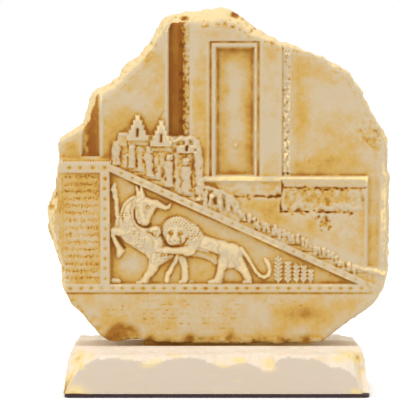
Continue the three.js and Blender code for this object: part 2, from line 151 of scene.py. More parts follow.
def noise(x, y, z, size, seed):
    """Smooth noise from -1 to 1 with lumps of a size."""
    places = [np.asarray(axis, float) / size for axis in (x, y, z)]
    cells = [np.floor(place).astype(np.int64) for place in places]
    parts = [smooth(place - cell) for place, cell in zip(places, cells)]
    total = 0
    for corner in range(8):
        steps = [corner & 1, corner >> 1 & 1, corner >> 2 & 1]
        weight = math.prod(part if step else 1 - part for part, step in zip(parts, steps))
        total = total + weight * lattice(*(cell + step for cell, step in zip(cells, steps)), seed)
    return 2 * total - 1


def rough(x, y, z, size, octaves, seed):
    """Noise with finer and finer octaves, about -1 to 1."""
    weights = [0.55 ** octave for octave in range(octaves)]
    total = sum(weight * noise(x, y, z, size / 2 ** octave, seed + 17 * octave)
        for octave, weight in enumerate(weights))
    return total / sum(weights) * 1.4


def rounded_outline(points, times=2):
    """Cuts the corners of a closed outline a few times over."""
    for _ in range(times):
        points = [(share * ax + (1 - share) * bx, share * az + (1 - share) * bz)
            for (ax, az), (bx, bz) in zip(points, points[1:] + points[:1]) for share in (0.75, 0.25)]
    return points


def box(left, low, right, high):
    return [(left, low), (right, low), (right, high), (left, high)]


def segment(a, b, x, z):
    """Distance to a straight piece, and how far along it the nearest point lies."""
    dx, dz = b[0] - a[0], b[1] - a[1]
    share = clamped(((x - a[0]) * dx + (z - a[1]) * dz) / max(dx * dx + dz * dz, 1e-9))
    return np.hypot(x - a[0] - share * dx, z - a[1] - share * dz), share


def line_distance(points, x, z):
    return np.minimum.reduce([segment(a, b, x, z)[0] for a, b in zip(points, points[1:])])


def inside(points, x, z):
    """Distance to a closed outline, positive inside it."""
    closed = points + points[:1]
    within = np.zeros(np.shape(x), bool)
    for a, b in zip(closed, closed[1:]):
        if a[1] != b[1]:
            reach = (b[0] - a[0]) * (z - a[1]) / (b[1] - a[1]) + a[0]
            within ^= ((a[1] > z) != (b[1] > z)) & (x < reach)
    return np.where(within, 1, -1) * line_distance(closed, x, z)


def soften(values, size, step):
    """Gaussian blur by a size, with the borders carried outwards."""
    pad = int(3 * size / step) + 1
    wide = np.pad(values, pad, mode="edge")
    rows = np.fft.fftfreq(wide.shape[0])[:, None]
    columns = np.fft.rfftfreq(wide.shape[1])[None]
    kernel = np.exp(-2 * (math.pi * size / step) ** 2 * (rows ** 2 + columns ** 2))
    return np.fft.irfft2(np.fft.rfft2(wide) * kernel, s=wide.shape)[pad:-pad, pad:-pad]


def blend_max(a, b, width):
    """The higher of two heights, with a fillet where they cross."""
    share = clamped(0.5 + 0.5 * (a - b) / width)
    return a * share + b * (1 - share) + width * share * (1 - share)


def arris_inset(x, z):
    """How far the front arris lies inside the outline."""
    top = ease(186, 198, z) * along([(-34, 0), (-30, 2.2), (-14, 4.7), (-9.5, 5.6), (-2, 7.4), (5, 6.6),
        (12, 4.8), (19, 3.8), (24, 2.0), (30, 0.6), (36, 0)], x)
    left = 3.0 * ease(-82, -89, x) * ease(120, 105, z)
    upper_left = 2.8 * ease(140, 155, z) * ease(-28, -42, x)
    return 0.2 + 1.2 * ease(34, 75, z) + top + left + upper_left


class Front:
    """The carved front as maps on an even grid in millimetres: rise over the wall, and stain, which also
    holds painted shade and highlights.
    """

    def __init__(self, step):
        margin = 2
        self.step = step
        self.left, self.low = SLAB_LOW.x - margin, SLAB_FOOT_Z - margin
        columns = int((SLAB_HIGH.x + margin - self.left) / step) + 1
        rows = int((SLAB_HIGH.z + margin - self.low) / step) + 1
        self.x, self.z = np.meshgrid(self.left + step * np.arange(columns),
            self.low + step * np.arange(rows))
        self.rise = np.full(self.x.shape, float(BUILDING))
        self.stain_and_shade = np.zeros(self.x.shape)

    def window(self, points, margin):
        """The part of the maps round some points."""
        spans = []
        for start, values in zip((self.left, self.low), zip(*points)):
            first = int((min(values) - margin - start) / self.step)
            last = int((max(values) + margin - start) / self.step) + 2
            spans.append(slice(max(first, 0), max(last, 0)))
        return spans[1], spans[0]

    def share(self, points, edge):
        """The window of an outline, and how far each place in it belongs to the outline."""
        w = self.window(points, edge)
        return w, smooth(inside(points, self.x[w], self.z[w]) / edge + 0.5)

    def line(self, points, width):
        """The window of a line, and how much of the line lies over each place in it."""
        w = self.window(points, 3 * width)
        return w, bell(line_distance(points, self.x[w], self.z[w]) / width)

    def paint(self, points, rise, edge=0.7):
        """Brings everything in an outline to a rise, with sloping sides."""
        w, share = self.share(points, edge)
        self.rise[w] += (rise - self.rise[w]) * share

    def roughen(self, points, height, size, seed, edge=1.0):
        """Coarse broken texture in an outline."""
        w, share = self.share(points, edge)
        self.rise[w] += height * share * rough(self.x[w], 0, self.z[w], size, 3, seed)

    def press(self, x, z, rx, rz, depth, power=2.0):
        """A rounded hollow, or a bump where the depth is negative."""
        w = self.window([(x - 3 * rx, z - 3 * rz), (x + 3 * rx, z + 3 * rz)], 0)
        q = np.hypot((self.x[w] - x) / rx, (self.z[w] - z) / rz)
        self.rise[w] -= depth * np.exp(-q ** power)

    def tint(self, x, z, rx, rz, amount):
        """A soft patch of more or less stain; a few of them are painted shade."""
        w = self.window([(x - 3 * rx, z - 3 * rz), (x + 3 * rx, z + 3 * rz)], 0)
        self.stain_and_shade[w] += amount * spot(self.x[w], self.z[w], x, z, rx, rz)

    def pit(self, x, z, rx, rz, depth, stain_and_shade, spread=1):
        """A rounded hollow with stain in it."""
        self.press(x, z, rx, rz, depth)
        self.tint(x, z, spread * rx, spread * rz, stain_and_shade)

    def groove(self, points, width, depth, stain_width=0, stain_and_shade=0):
        """A line cut along points, or a ridge where the depth is negative, with stain in it."""
        w, line = self.line(points, width)
        self.rise[w] -= depth * line
        if stain_width:
            self.tint_line(points, stain_width, stain_and_shade)

    def grooves(self, *lines):
        for points, *cut in lines:
            self.groove(points, *cut)

    def tint_in(self, points, amount, edge=1.0):
        w, share = self.share(points, edge)
        self.stain_and_shade[w] += amount * share

    def tint_line(self, points, width, amount):
        w, line = self.line(points, width)
        self.stain_and_shade[w] += amount * line

    def stand(self, parts, join=0.8, warp=0.3):
        """Joins rounded parts into one figure with an uneven outline that stands on what is there."""
        w = self.window([point for reach, _ in parts for point in reach], 1 + 2 * warp)
        x, z = self.x[w], self.z[w]
        x, z = x + warp * rough(x, 1, z, 3, 2, 31), z + warp * rough(x, 8, z, 3, 2, 37)
        top = np.full(x.shape, float(NOTHING))
        for _, height in parts:
            top = blend_max(top, height(x, z), join)
        self.rise[w] = np.maximum(self.rise[w], top)

    def hollows(self, size, low, high):
        """How far each place lies below those round it, within limits."""
        return np.clip(soften(self.rise, size, self.step) - self.rise, low, high)

    def sample(self, values, x, z):
        """A map's values at places between its points."""
        column = np.clip((x - self.left) / self.step, 0, values.shape[1] - 1.001)
        row = np.clip((z - self.low) / self.step, 0, values.shape[0] - 1.001)
        j, i = column.astype(int), row.astype(int)
        u, v = column - j, row - i
        low = values[i, j] * (1 - u) + values[i, j + 1] * u
        high = values[i + 1, j] * (1 - u) + values[i + 1, j + 1] * u
        return low * (1 - v) + high * v


# Parts of figures: each gives the corners of its reach, and its height at places x and z


def bar(a, b, ground, depth, power=2.3):
    """A rounded, tapered bar between two ends of x, z and radius, proud of a ground."""
    thick = max(a[2], b[2])

    def height(x, z):
        distance, share = segment(a, b, x, z)
        radius = a[2] + (b[2] - a[2]) * share
        q = clamped(distance / radius)
        top = ground + depth * (radius / thick) ** 0.5 * np.sqrt(1 - q ** power)
        return np.where(distance < radius, top, NOTHING)

    return [(end[0] + side, end[1] + side) for end in (a, b) for side in (-thick, thick)], height


def bars(points, ground, depth, power=2.3):
    return [bar(a, b, ground, depth, power) for a, b in zip(points, points[1:])]


def pillow(points, ground, depth, edge, times=2):
    """A raised outline whose sides round over within an edge width."""
    outline = rounded_outline(points, times)

    def height(x, z):
        distance = inside(outline, x, z)
        q = clamped(distance / edge)
        return np.where(distance > 0, ground + depth * np.sqrt(1 - (1 - q) ** 2), NOTHING)

    return points, height


def dome(x0, z0, rx, rz, ground, depth):
    """A round boss."""
    def height(x, z):
        q = clamped(np.hypot((x - x0) / rx, (z - z0) / rz))
        return np.where(q < 1, ground + depth * np.sqrt(1 - q ** 2.2), NOTHING)

    return [(x0 - rx, z0 - rz), (x0 + rx, z0 + rz)], height


def stair_low(x):
    return STAIR_FOOT + STAIR_SLOPE * x


def stair_top(x):
    return STAIR_FOOT + STAIR_HEIGHT + STAIR_SLOPE * x


def crack(f, points, width, depth, seed):
    """A ragged crack along points, deeper here and there."""
    w = f.window(points, 4 * width + 1)
    x, z = f.x[w], f.z[w]
    warp = 0.45 * rough(x, 0, z, 3.5, 2, seed)
    share = bell(line_distance(points, x + 0.5 * warp, z + warp) / width)
    share = share * clamped(0.5 + 1.1 * rough(x, 0, z, 3, 2, seed + 5))
    f.rise[w] -= depth * share
    f.stain_and_shade[w] += 0.2 * share


def carve_wall(f):
    """The wall, its recesses, the doorway with its pilasters and the strip beside them."""
    f.paint(box(-OUT, 133.4, -15.3, ABOVE), 0)
    f.paint([(-76, 133), (-66.3, 133), (-66.3, 176), (-73, 176), (-75, 156)], -2, 1.8)
    f.press(-70.4, 140, 3, 15, 2)
    f.roughen(box(-75, 133, -71, 156), 0.7, 2.2, 3, 2)
    f.groove([(-64.9, 134), (-64.9, 172)], 1.1, -0.8)
    f.groove([(-28, 146), (-28, 203)], 1, -0.6)
    f.paint([(-27, 145.2), (-18.9, 145.2), (-18.9, 190), (-19.6, 203), (-20.6, 209), (-24.6, 209.4),
        (-27, 205.4)], RECESS, 0.9)
    jamb = [(-19.8, 144), (-15.6, 144), (-15.6, 210), (-21.6, 210), (-20.2, 200), (-19.4, 188)]
    w, share = f.share(jamb, 1.6)
    ramp = np.interp(f.x[w], [-20.8, -19, -17.4, -15.6], [-4.2, -2.2, 0, 1.5])
    f.rise[w] += (ramp - f.rise[w]) * share
    f.roughen(jamb, 1.3, 2.2, 5)
    f.roughen(jamb, 0.6, 1, 6)
    for z in (196, 180, 170, 166, 153):
        f.press(-19.4, z, 1.3, 1.2, 2.4)
    f.paint(box(-15.3, CORNICE_HIGH, 36.7, ABOVE), BUILDING)
    f.paint(box(-4.3, 121, 24, 198.6), 0.9, 0.6)
    f.paint(box(-2.9, 121, 22.4, 197.5), BUILDING, 0.6)
    f.paint(box(-0.6, 123.4, 21, 195.2), 0.2, 0.8)
    f.paint(box(0.2, 124, 20.2, 194.2), DOOR_PANEL, 1.6)
    f.press(10.5, 140.3, 1.1, 1.1, -1.1)
    f.tint(10.5, 140.3, 2, 2, 0.34)
    f.tint(10.5, 140.3, 0.9, 0.9, -0.7)
    f.paint(box(36.7, CORNICE_HIGH, 41.3, ABOVE), 1.2)
    f.groove([(37, CORNICE_HIGH), (37, 200)], 0.5, 0.7)
    f.roughen(box(37.4, 123, 41, ABOVE), 0.8, 1.1, 9)
    pits = np.random.default_rng(21)
    for _ in range(110):
        x, z, r = pits.uniform(37.6, 40.8), pits.uniform(123.5, 199), pits.uniform(0.35, 0.7)
        f.pit(x, z, r, r, 0.9, 0.24, 1.1)
    f.paint(box(41.2, CORNICE_HIGH, OUT, ABOVE), 0)
    f.rise += 0.8 * ease(46.5, 41.3, f.x) * ease(CORNICE_HIGH, CORNICE_HIGH + 2, f.z) * (f.x > 41.3)
    f.roughen([(78, 149), (83, 139), (92, 135), (96, 150), (86, 158)], 0.9, 2.6, 13, 3)
    f.groove([(49.2, 130.5), (50.2, 133.5)], 0.35, 0.4)
    f.groove([(51.6, 130.8), (52.2, 133)], 0.3, 0.3)


def carve_masonry(f):
    """The cornice, the cracked courses under it and the margin to their right."""
    f.paint(box(-8, 60, MASONRY_RIGHT, CORNICE_LOW), BUILDING, 0.6)
    f.paint(box(-7.5, CORNICE_LOW, MASONRY_RIGHT, CORNICE_HIGH), CORNICE, 1.3)
    f.paint(box(36.8, 116.8, MASONRY_RIGHT - 0.5, CORNICE_LOW + 0.6), CORNICE - 0.4, 0.9)
    f.paint(box(-7, 117.4, 36, CORNICE_LOW - 0.2), BUILDING - 0.3, 1.6)
    rustic = box(38, 103.8, 83, 115.2)
    f.paint(rustic, BUILDING - 0.1, 3)
    f.roughen(rustic, 1.3, 5.2, 21, 2)
    f.roughen(rustic, 0.35, 2, 22, 2)
    f.roughen(box(-6, 112, 35, 119), 0.6, 3.4, 25, 2)
    pits = np.random.default_rng(33)
    for left, right, level, spread in ((38, 84, 115.8, 0.7), (38, 76, 102.9, 0.8), (14, 36, 111.4, 0.5)):
        for _ in range(int(0.8 * (right - left))):
            x, z, r = pits.uniform(left, right), level + pits.normal(0, spread), pits.uniform(0.3, 0.8)
            f.press(x, z, 1.4 * r, r, 0.8)
            f.tint(x, z, 1.5 * r, 1.2 * r, 0.16)
    crack(f, [(36.8, 116.4), (41, 117.2), (45, 116.4), (50, 116.9), (54, 115.8), (62, 116.9), (67, 116),
        (72, 116.5), (79, 115.9), (85, 116.6)], 0.38, 0.9, 201)
    crack(f, [(10, 110.9), (17, 111.3), (23, 111.9), (29, 111), (35.6, 111.6)], 0.5, 1.5, 203)
    crack(f, [(36.2, 121), (37, 117.5), (36.4, 112), (35.8, 107), (36.2, 102.6)], 0.42, 1.2, 205)
    f.groove([(36.6, 120.6), (36.9, 116), (36.2, 109), (36, 102.8)], 0.4, 0.6)
    crack(f, [(35.8, 102.8), (45, 103), (56, 102.4), (66, 102.8), (76.5, 102.2), (74, 100.3)], 0.45, 1.3,
        207)
    for x, z, rx, rz, depth in ((17, 111.2, 0.8, 0.5, 0.9), (22, 111.8, 1.5, 0.5, 1),
            (34.6, 111.9, 1.4, 1.3, 1.9), (37.4, 117.6, 0.8, 1.5, 1.2), (36.4, 104, 0.7, 1.2, 1),
            (39.5, 102.9, 1.2, 0.5, 0.9), (50, 102.8, 1, 0.5, 0.9), (57.5, 102.4, 1.3, 0.6, 1.1),
            (67, 102.8, 1, 0.5, 0.9), (75.6, 102, 1.2, 0.7, 1), (41, 116.6, 1.6, 0.4, 0.7),
            (57, 116.3, 2.2, 0.45, 0.9), (66, 116.6, 0.9, 0.4, 0.7), (73, 116.3, 1.1, 0.5, 0.8),
            (63, 108, 3.4, 2.2, 0.5)):
        f.pit(x, z, rx, rz, depth, 0.14 * depth)
    hole = [(54, 101.8), (66, 101.8), (64, 96), (61, 90), (58.4, 94), (55.4, 97)]
    f.roughen(hole, 1, 2.2, 23, 3)
    f.tint_in(hole, -0.12, 3)
    f.press(60.8, 98, 2.2, 3.4, 1)
    for _ in range(26):
        x, z, r = pits.normal(60.4, 2.2), pits.uniform(91, 101.6), pits.uniform(0.35, 0.8)
        f.pit(x, z, r, r, 0.8, 0.12, 1.3)
    f.roughen(box(38, 86, 84, 101), 0.2, 6, 27, 3)
    f.tint_in([(-7, 119), (85, 119), (85, 76), (13, 106)], 0.1)
    f.tint_in(rustic, 0.05)
    f.groove([(MASONRY_RIGHT - 1, 76), (MASONRY_RIGHT - 1, CORNICE_HIGH)], 1, -0.6)
    f.paint(box(MASONRY_RIGHT, 68, 92, CORNICE_HIGH + 1.5), 0.5, 2.4)
    f.paint([(92.8, 60), (OUT, 60), (OUT, 152), (94, 148), (91, 134), (92.2, 118), (93, 100), (92, 82)],
        1.9, 5.5)


def carve_fields(f):
    """The inscription field, the figures' panel, the lower block and the bands round them."""
    panel_right = (BAND_HIGH - STAIR_FOOT) / STAIR_SLOPE
    f.paint([(-OUT, 20), (OUT, 20), (OUT, stair_top(OUT)), (SIDE_RIGHT, LEFT_HIGH), (-OUT, LEFT_HIGH)],
        BAND)
    f.paint(box(-OUT, BAND_HIGH, SIDE_LEFT, LEFT_LOW), INSCRIPTION)
    f.paint([(SIDE_RIGHT, BAND_HIGH), (panel_right, BAND_HIGH), (SIDE_RIGHT, stair_low(SIDE_RIGHT))], PANEL)
    f.paint(box(-OUT, 0, OUT, BAND_LOW - 1.3), LOWER_BLOCK, 0.5)
    f.paint(box(-85.5, BAND_LOW - 1.3, 87.5, BAND_LOW), 2.9, 0.8)
    f.paint([(87.5, 55), (OUT, 55), (OUT, 68.5), (79, 72), (84, 62)], 2.9, 2.4)
    f.roughen([(86, 56), (OUT, 56), (OUT, 69), (84, 69)], 0.7, 3.5, 29, 2)
    slope = ease(133.6, 130.4, f.z) * (f.x < -58.6)
    ledge = (f.z > 130.1) & (f.z < 133.8) & (f.x < -58.6)
    f.rise = np.where(ledge, 0.2 + (BAND - 0.2) * slope, f.rise)


def carve_studs(f):
    """The studs sunk along the bands."""
    studs = [(-82.8, 127.8), (-76.5, 127.8), (-70, 127.8), (-62.8, 127.8)]
    studs += [(-62.9, 65 + 5.65 * i) for i in range(11)]
    studs += [(-82.5 + 5.86 * i, 59.5) for i in range(29)]
    centre = STAIR_FOOT + STAIR_HEIGHT / 2
    stair = [2.8 - 5.63 * i for i in range(11)] + [2.8 + 5.81 * (i + 1) for i in range(13)]
    studs += [(x, centre + STAIR_SLOPE * x) for x in stair]
    for i, (x, z) in enumerate(studs):
        wobble = 0.25 * math.sin(3.7 * i)
        f.press(x + wobble, z, 1.25, 1.15, 0.55, 2.6)
        f.tint(x + wobble, z, 1.25, 1.15, 0.36 + 0.06 * math.sin(2.3 * i))
    for x in np.arange(-86, -60, 1.5):
        f.press(x, 131.5, 0.55, 0.6, 0.9)
        f.tint(x, 131.5, 0.6, 0.65, 0.42)


def carve_inscription(f):
    """Rows of shallow strokes that stand for worn writing."""
    picks = np.random.default_rng(4)
    f.groove([(-86.6, 63), (-86.9, 80), (-86.5, 100), (-86.8, 123.5)], 0.3, 0.35)
    for row in np.arange(65.2, 124, 4.1):
        for x in np.arange(-85.4, -67.2, 0.82):
            cx, cz = x + picks.uniform(-0.25, 0.25), row + picks.uniform(-0.35, 0.35)
            lean, reach = picks.uniform(-0.25, 0.25), picks.uniform(0.35, 1.15)
            if picks.random() < 0.78:
                ends = [(cx + lean, cz - reach), (cx, cz + reach)]
            else:
                ends = [(cx - 0.8 * reach, cz + lean), (cx + 0.8 * reach, cz)]
            f.groove(ends, 0.25, 0.4 * picks.uniform(0.3, 1.2), 0.32, 0.26 * picks.uniform(0.1, 1.2))
            if picks.random() < 0.5:
                px, pz = x + picks.uniform(-0.5, 0.5), row + picks.uniform(-1.5, 1.5)
                f.pit(px, pz, 0.3, 0.3, 0.35, 0.34, 1.2)
    dash = np.random.default_rng(8)
    for left, right, rows, count in ((-42, -16, (52.4, 50.2, 47.2, 45, 42.3, 39.2), 7),
            (-9, 13, (52.2, 50.1, 47.3, 45.1, 42.2, 39.3, 36.5), 5), (-66, -50, (49.5, 47.2, 44), 3),
            (24, 50, (52.2, 50), 3)):
        for row in np.repeat(rows, count):
            x, z = dash.uniform(left, right), row + dash.uniform(-0.35, 0.35)
            ends = [(x, z), (x + dash.uniform(0.4, 1.6), z + dash.uniform(-0.25, 0.25))]
            f.groove(ends, 0.26, 0.3, 0.34, 0.16)


def carve_lower_block(f):
    """The chips along the foot and the worn surface of the lower block."""
    foot = rounded_outline([(-64, 27), (-62, 34), (-57, 38.6), (-49, 38.2), (-44.5, 35.5), (-43, 31.5),
        (-46, 27)])
    f.paint(foot, LOWER_BLOCK - 2.3, 6)
    f.roughen(foot, 0.5, 4, 31, 3)
    for x, z, rx, rz, depth in ((-15, 29.5, 3.2, 3.4, 2.2), (-9, 30, 2.4, 1.4, 0.8),
            (8, 31.5, 2.6, 4.2, 0.9), (50, 29.6, 3.2, 2.6, 1.6), (39, 29, 2.2, 1.6, 1.1),
            (-38, 29.6, 2.2, 3, 1), (-28, 36.2, 1.2, 0.5, 0.7), (22, 29, 3, 1.1, 0.8),
            (-70, 42, 2.6, 2.2, 0.8), (-67, 36.5, 2, 1.6, 1), (31, 41, 5, 3, 0.18), (60, 41, 6, 3, 0.2)):
        f.press(x, z, rx, rz, depth)
    f.roughen(box(-OUT, 27, OUT, 31.5), 0.6, 3, 33, 2)


def battlement(f, x, low, half_width, height, steps, top=BAND):
    """A stepped battlement with a loophole."""
    for i in range(steps):
        half = half_width * (1 - 0.8 * i / max(steps - 1, 1))
        wobble = 0.25 * math.sin(5 * i + x)
        f.paint(box(x - half, low, x + half + wobble, low + height * (i + 1) / steps), top, 0.55)
    f.groove([(x - 0.1, low + 0.17 * height), (x + 0.1, low + 0.44 * height)], 0.75, 2.6, 0.7, 0.4)
    f.groove([(x - half_width, low + 0.15), (x + half_width, low + 0.15)], 0.3, -0.25)


def guard(f, x, foot, height, lean, wide, bend):
    """A standing guard in a long robe, worn nearly flat, an elbow out to one side."""
    g = GUARDS - 0.2
    waist, chest, top = foot + 0.42 * height, foot + 0.64 * height, foot + height
    head = x + lean - 0.3 * bend
    parts = [bar((x, foot + 1.4, 2.2 * wide), (x + 0.4 * lean, waist, 1.9 * wide), g, 1.2),
        bar((x + 0.4 * lean, waist, 2 * wide), (x + lean, chest, 2.4 * wide), g, 1.5),
        bar((x + lean + 2 * bend * wide, chest - 0.8, 1.1), (x + bend, waist + 0.4, 1), g, 1.5),
        dome(head, top - 2.4, 1.9, 2.1, g, 1.9),
        bar((head - 0.9, top - 1.2, 1), (head + 0.9, top - 1, 1), g, 2),
        bar((x - 1.6 * wide, foot + 0.8, 0.8), (x + 1.7 * wide, foot + 0.6, 0.8), g, 1.3)]
    f.stand(parts, 1, 0.75)
    f.tint(x + lean, 0.5 * (foot + top), 2, 0.46 * height, -0.16)
    f.grooves(([(x - 0.9 * bend, foot + 1), (x - 0.7 * bend, waist)], 0.36, 0.4),
        ([(x + 0.9 * bend, foot + 1.4), (x + 0.5 * bend, waist - 1)], 0.36, 0.3),
        ([(head - 1.6, top - 4.2), (head + 1.4, top - 4.4)], 0.4, 0.4))
    f.press(head - 0.5 * bend, top - 2.6, 0.5, 0.4, 0.5)
    f.groove([(x + lean + 1.5 * bend, chest - 0.4), (x - 1.4 * bend, waist + 0.8)], 0.36, 0.5)
    for side in (-1, 1):
        f.groove([(x + 2.6 * side * wide, foot + 1), (x + lean + 2.5 * side * wide, chest)], 0.6, 0.3)
    # Painted shade down the right side of each guard.
    f.tint_line([(x + 2.7 * wide, foot), (x + lean + 2.8 * wide, chest + 1)], 0.7, 0.12)


def carve_guards(f):
    """The block of guards under its battlements and its rounded right rim."""
    ground = [(-59.4, 129.6), (-8, stair_top(-8)), (-8, 121), (-8.5, 136), (-10.5, 141), (-13.5, 145),
        (-23, 143.4), (-26, 145.4), (-37.5, 146), (-50, 146.8), (-55.3, 146.8), (-55.7, 143),
        (-58.2, 142.3), (-59.4, 137)]
    f.paint(ground, GUARDS, 0.8)
    f.roughen(ground, 0.5, 2.6, 41)
    for x, foot, height, width in ((-51.8, 129, 5, 1.3), (-42.8, 125.4, 6, 1.5), (-33.2, 121.4, 6.5, 1.4),
            (-22.4, 116.6, 7, 1.7)):
        f.stand([bar((x, foot, width), (x + 0.6, foot + height, 0.8 * width), GUARDS - 0.2, 0.8)], 1, 0.9)
    for x, foot, height, lean, wide, bend in ((-56.6, 129.4, 12.4, 0.2, 1, -0.2),
            (-47.6, 127.6, 13.2, -0.3, 1, -1), (-37.6, 122.6, 17.2, -0.8, 1, -1),
            (-27.3, 117.6, 18.2, 0.4, 1.06, -1), (-17.1, 113.2, 19.8, -0.3, 1.2, 1),
            (-9.8, 109.2, 12.6, 0.4, 1.1, -1)):
        guard(f, x, foot, height, lean, wide, bend)
    f.paint([(-50, 140.6), (-39, 140.4), (-39, 143.3), (-50, 143.3)], 2.6, 0.6)
    f.paint([(-37.5, 137.2), (-26, 137), (-26, 140.2), (-37.5, 140.2)], 2.6, 0.6)
    battlement(f, -44.6, 143.1, 6.2, 14, 5)
    battlement(f, -31.3, 139.9, 6, 14.2, 5)
    battlement(f, -16.9, 136, 5.6, 8.6, 2, BAND - 0.3)
    f.paint(box(-55.2, 145.6, -49.8, 147.2), 3.2, 0.6)
    f.paint(box(-55.6, 140, -50.5, 145.6), 2.7, 0.9)
    f.stand(bars([(-24, 142.6, 1.1), (-20, 144, 1.4), (-14.4, 144.6, 1.6), (-11.6, 141.4, 1.9),
        (-10.6, 136, 2.2), (-10.1, 130, 2.3), (-10.2, 124, 2.1), (-9.8, 119, 2)], GUARDS, 1.5), 1, 0.8)
    f.roughen(box(-24, 134, -9, 146), 0.6, 2, 45, 1.5)
    f.roughen(ground, 0.25, 1.7, 46, 2)
    f.tint_in(ground, -0.06, 1.5)
    for x, z, rx, rz, depth in ((-51.5, 149, 0.9, 0.9, 0.9), (-37, 144.5, 0.9, 1.1, 2.4),
            (-22, 140.2, 1, 1.2, 2.6), (-14.5, 142.4, 1.2, 0.9, 2.2), (-12.2, 137.8, 0.9, 0.9, 2),
            (-45.2, 131.2, 0.6, 1, 2), (-45.2, 128.6, 0.6, 0.9, 2), (-35.8, 126.4, 0.7, 1.2, 2),
            (-33.7, 125.3, 0.6, 0.9, 1.8), (-30.7, 123.2, 0.7, 1.5, 2.2), (-28.8, 121.2, 0.7, 1.5, 2.2),
            (-24, 120.5, 1, 1.5, 2.4), (-11.3, 111.8, 1.1, 0.9, 2), (-15.3, 114.6, 0.7, 1.4, 2),
            (-9.2, 127.4, 0.8, 0.8, 1.4), (-49.8, 134.5, 0.7, 2.2, 1.2), (-41.5, 132, 0.8, 2.6, 1.2),
            (-32.5, 131, 0.9, 3, 1), (-24.4, 131, 0.9, 4.5, 1.4), (-21.5, 124, 0.8, 3.2, 1.2),
            (-13.4, 128, 0.9, 4, 1.2)):
        f.press(x, z, 0.9 * rx, 0.9 * rz, 0.6 * depth)
        f.tint(x, z, rx, rz, 0.07 * depth)
    f.grooves(([(-47.5, 125.3), (-42, 125.1)], 0.35, 0.9), ([(-38, 121), (-32, 120.4)], 0.35, 0.9),
        ([(-31, 116.4), (-24.4, 115.8)], 0.35, 0.8), ([(-22, 112), (-14, 111.2)], 0.35, 0.8),
        ([(-32.6, 154.6), (-30, 159.4)], 0.35, 0.7))
    f.tint(-44.6, 149, 5, 6, -0.14)
    f.tint(-31.3, 145.6, 5, 6, -0.14)
    f.tint_line([(-24, 143), (-16, 144.6), (-11, 140), (-10, 128), (-9, 116)], 2.2, -0.16)


def carve_climbers(f):
    """The larger group on the stairs and the small worn climbing figures below it."""
    g = GUARDS
    tier = [(-8.2, stair_top(-8.2)), (13, stair_top(13)), (13, 104), (12, 108), (8, 112.2), (3, 114.8),
        (-4, 117), (-8.2, 118)]
    f.paint(tier, g + 0.6, 1)
    f.stand([*bars([(-6.4, 105.5, 1.5), (-6.2, 114, 1.6)], g + 0.2, 1.4),
        *bars([(-3.7, 106.5, 1.2), (-3.2, 111.4, 1.5), (-1.2, 113.6, 1.6), (1.6, 112, 1.8),
            (2.1, 105, 1.7)], g + 0.2, 1.6),
        *bars([(6.4, 103.5, 1.5), (6.2, 109.8, 1.8), (9, 108.5, 1.9), (10.9, 103, 1.8)], g + 0.2, 1.6),
        *bars([(-7.5, 117, 1), (-3.6, 116, 1.2), (1, 114.6, 1.2), (5, 113, 1.2), (8.4, 111, 1.3),
            (11, 108.4, 1.5), (11.8, 105, 1.5), (12.2, 102.6, 1.4)], g + 0.2, 1.4)], 1.4, 0.8)
    f.roughen(tier, 0.7, 2, 49)
    for x, z, rx, rz, depth in ((-1, 108.6, 0.8, 2, 1.5), (-4.8, 110.5, 0.5, 2.2, 0.9),
            (4.2, 107.5, 0.7, 3, 1.4), (8.6, 104.3, 1, 1.2, 0.9), (10, 107, 0.5, 0.8, 0.5)):
        f.pit(x, z, rx, rz, depth, 0.25)
    crest = [(13, 103.2), (17, 101.5), (21, 99.8), (25, 98), (29, 96.3), (31.6, 94), (34, 93.8), (40, 91.5),
        (44, 90.3), (48, 89.2), (52, 86.5), (56, 84), (60, 82), (64, 80.4), (70, 76), (75, 74), (78, 72.4),
        (82, 71), (88, 70), (97, 69.4)]
    foot = [(x, stair_top(x) - 0.4) for x in (97, 13)]
    f.paint([*crest, *foot], g + 0.5, 0.9)
    picks = np.random.default_rng(12)
    x = 13.6
    while x < 79:
        width = picks.uniform(1, 1.7)
        top = along(crest, x) + picks.uniform(-1.3, 0.9)
        base = max(stair_top(x) + picks.uniform(0.8, 1.8), top - picks.uniform(3.4, 4.6))
        lean = picks.uniform(-0.9, 0.5)
        swell = picks.uniform(1.1, 1.8)
        f.stand([bar((x, base, width), (x + lean, top - width, 0.85 * width), g + 0.3, swell, 3),
            bar((x + lean - 0.7, top - 1.2, 1), (x + lean + 0.3, top - 0.7, 0.9), g + 0.5, 1.3)], 1, 0.7)
        gap = [(x + 0.8 * width, base - 0.6), (x + 0.8 * width + lean, top - 1.6)]
        f.groove(gap, 0.34, picks.uniform(0.3, 0.9))
        f.tint_line(gap, 0.45, 0.28)
        x += 1.7 * width + picks.uniform(-0.2, 0.8)
    f.roughen([*crest, *foot], 0.5, 2.2, 47)
    # Painted highlight along the crest of the climbers.
    f.tint_line(crest, 2.6, -0.18)
    for left, right, level in ((13, 22, 97.3), (22, 31, 92.9), (31, 40, 88.7), (40, 48.5, 84.2),
            (48.5, 57, 80.4), (57, 67, 76), (67, 75, 71.5), (75, 85, 66.8)):
        level = max(level, stair_top(left) - 0.2)
        f.groove([(left, level), (right - 1, level - 0.3)], 0.34, 0.6, 0.5, 0.3)
        if left > 47:
            f.groove([(right, level + 0.4), (right + 0.2, level - 3)], 0.34, 0.5)
    f.stand(bars([(32.8, 95, 0.9), (34.2, 91, 1)], g + 0.5, 1.6), 0.4)
    f.stand(bars([(77, 72, 1.2), (84, 70.4, 1.7), (90, 69, 1.9), (99, 67, 2)], g, 1.9), 1.4, 0.8)
    # Painted highlight along the top of the group at the right.
    f.tint_line([(77.6, 73), (84, 71.4), (90, 70), (99, 68.2)], 1.4, -0.1)


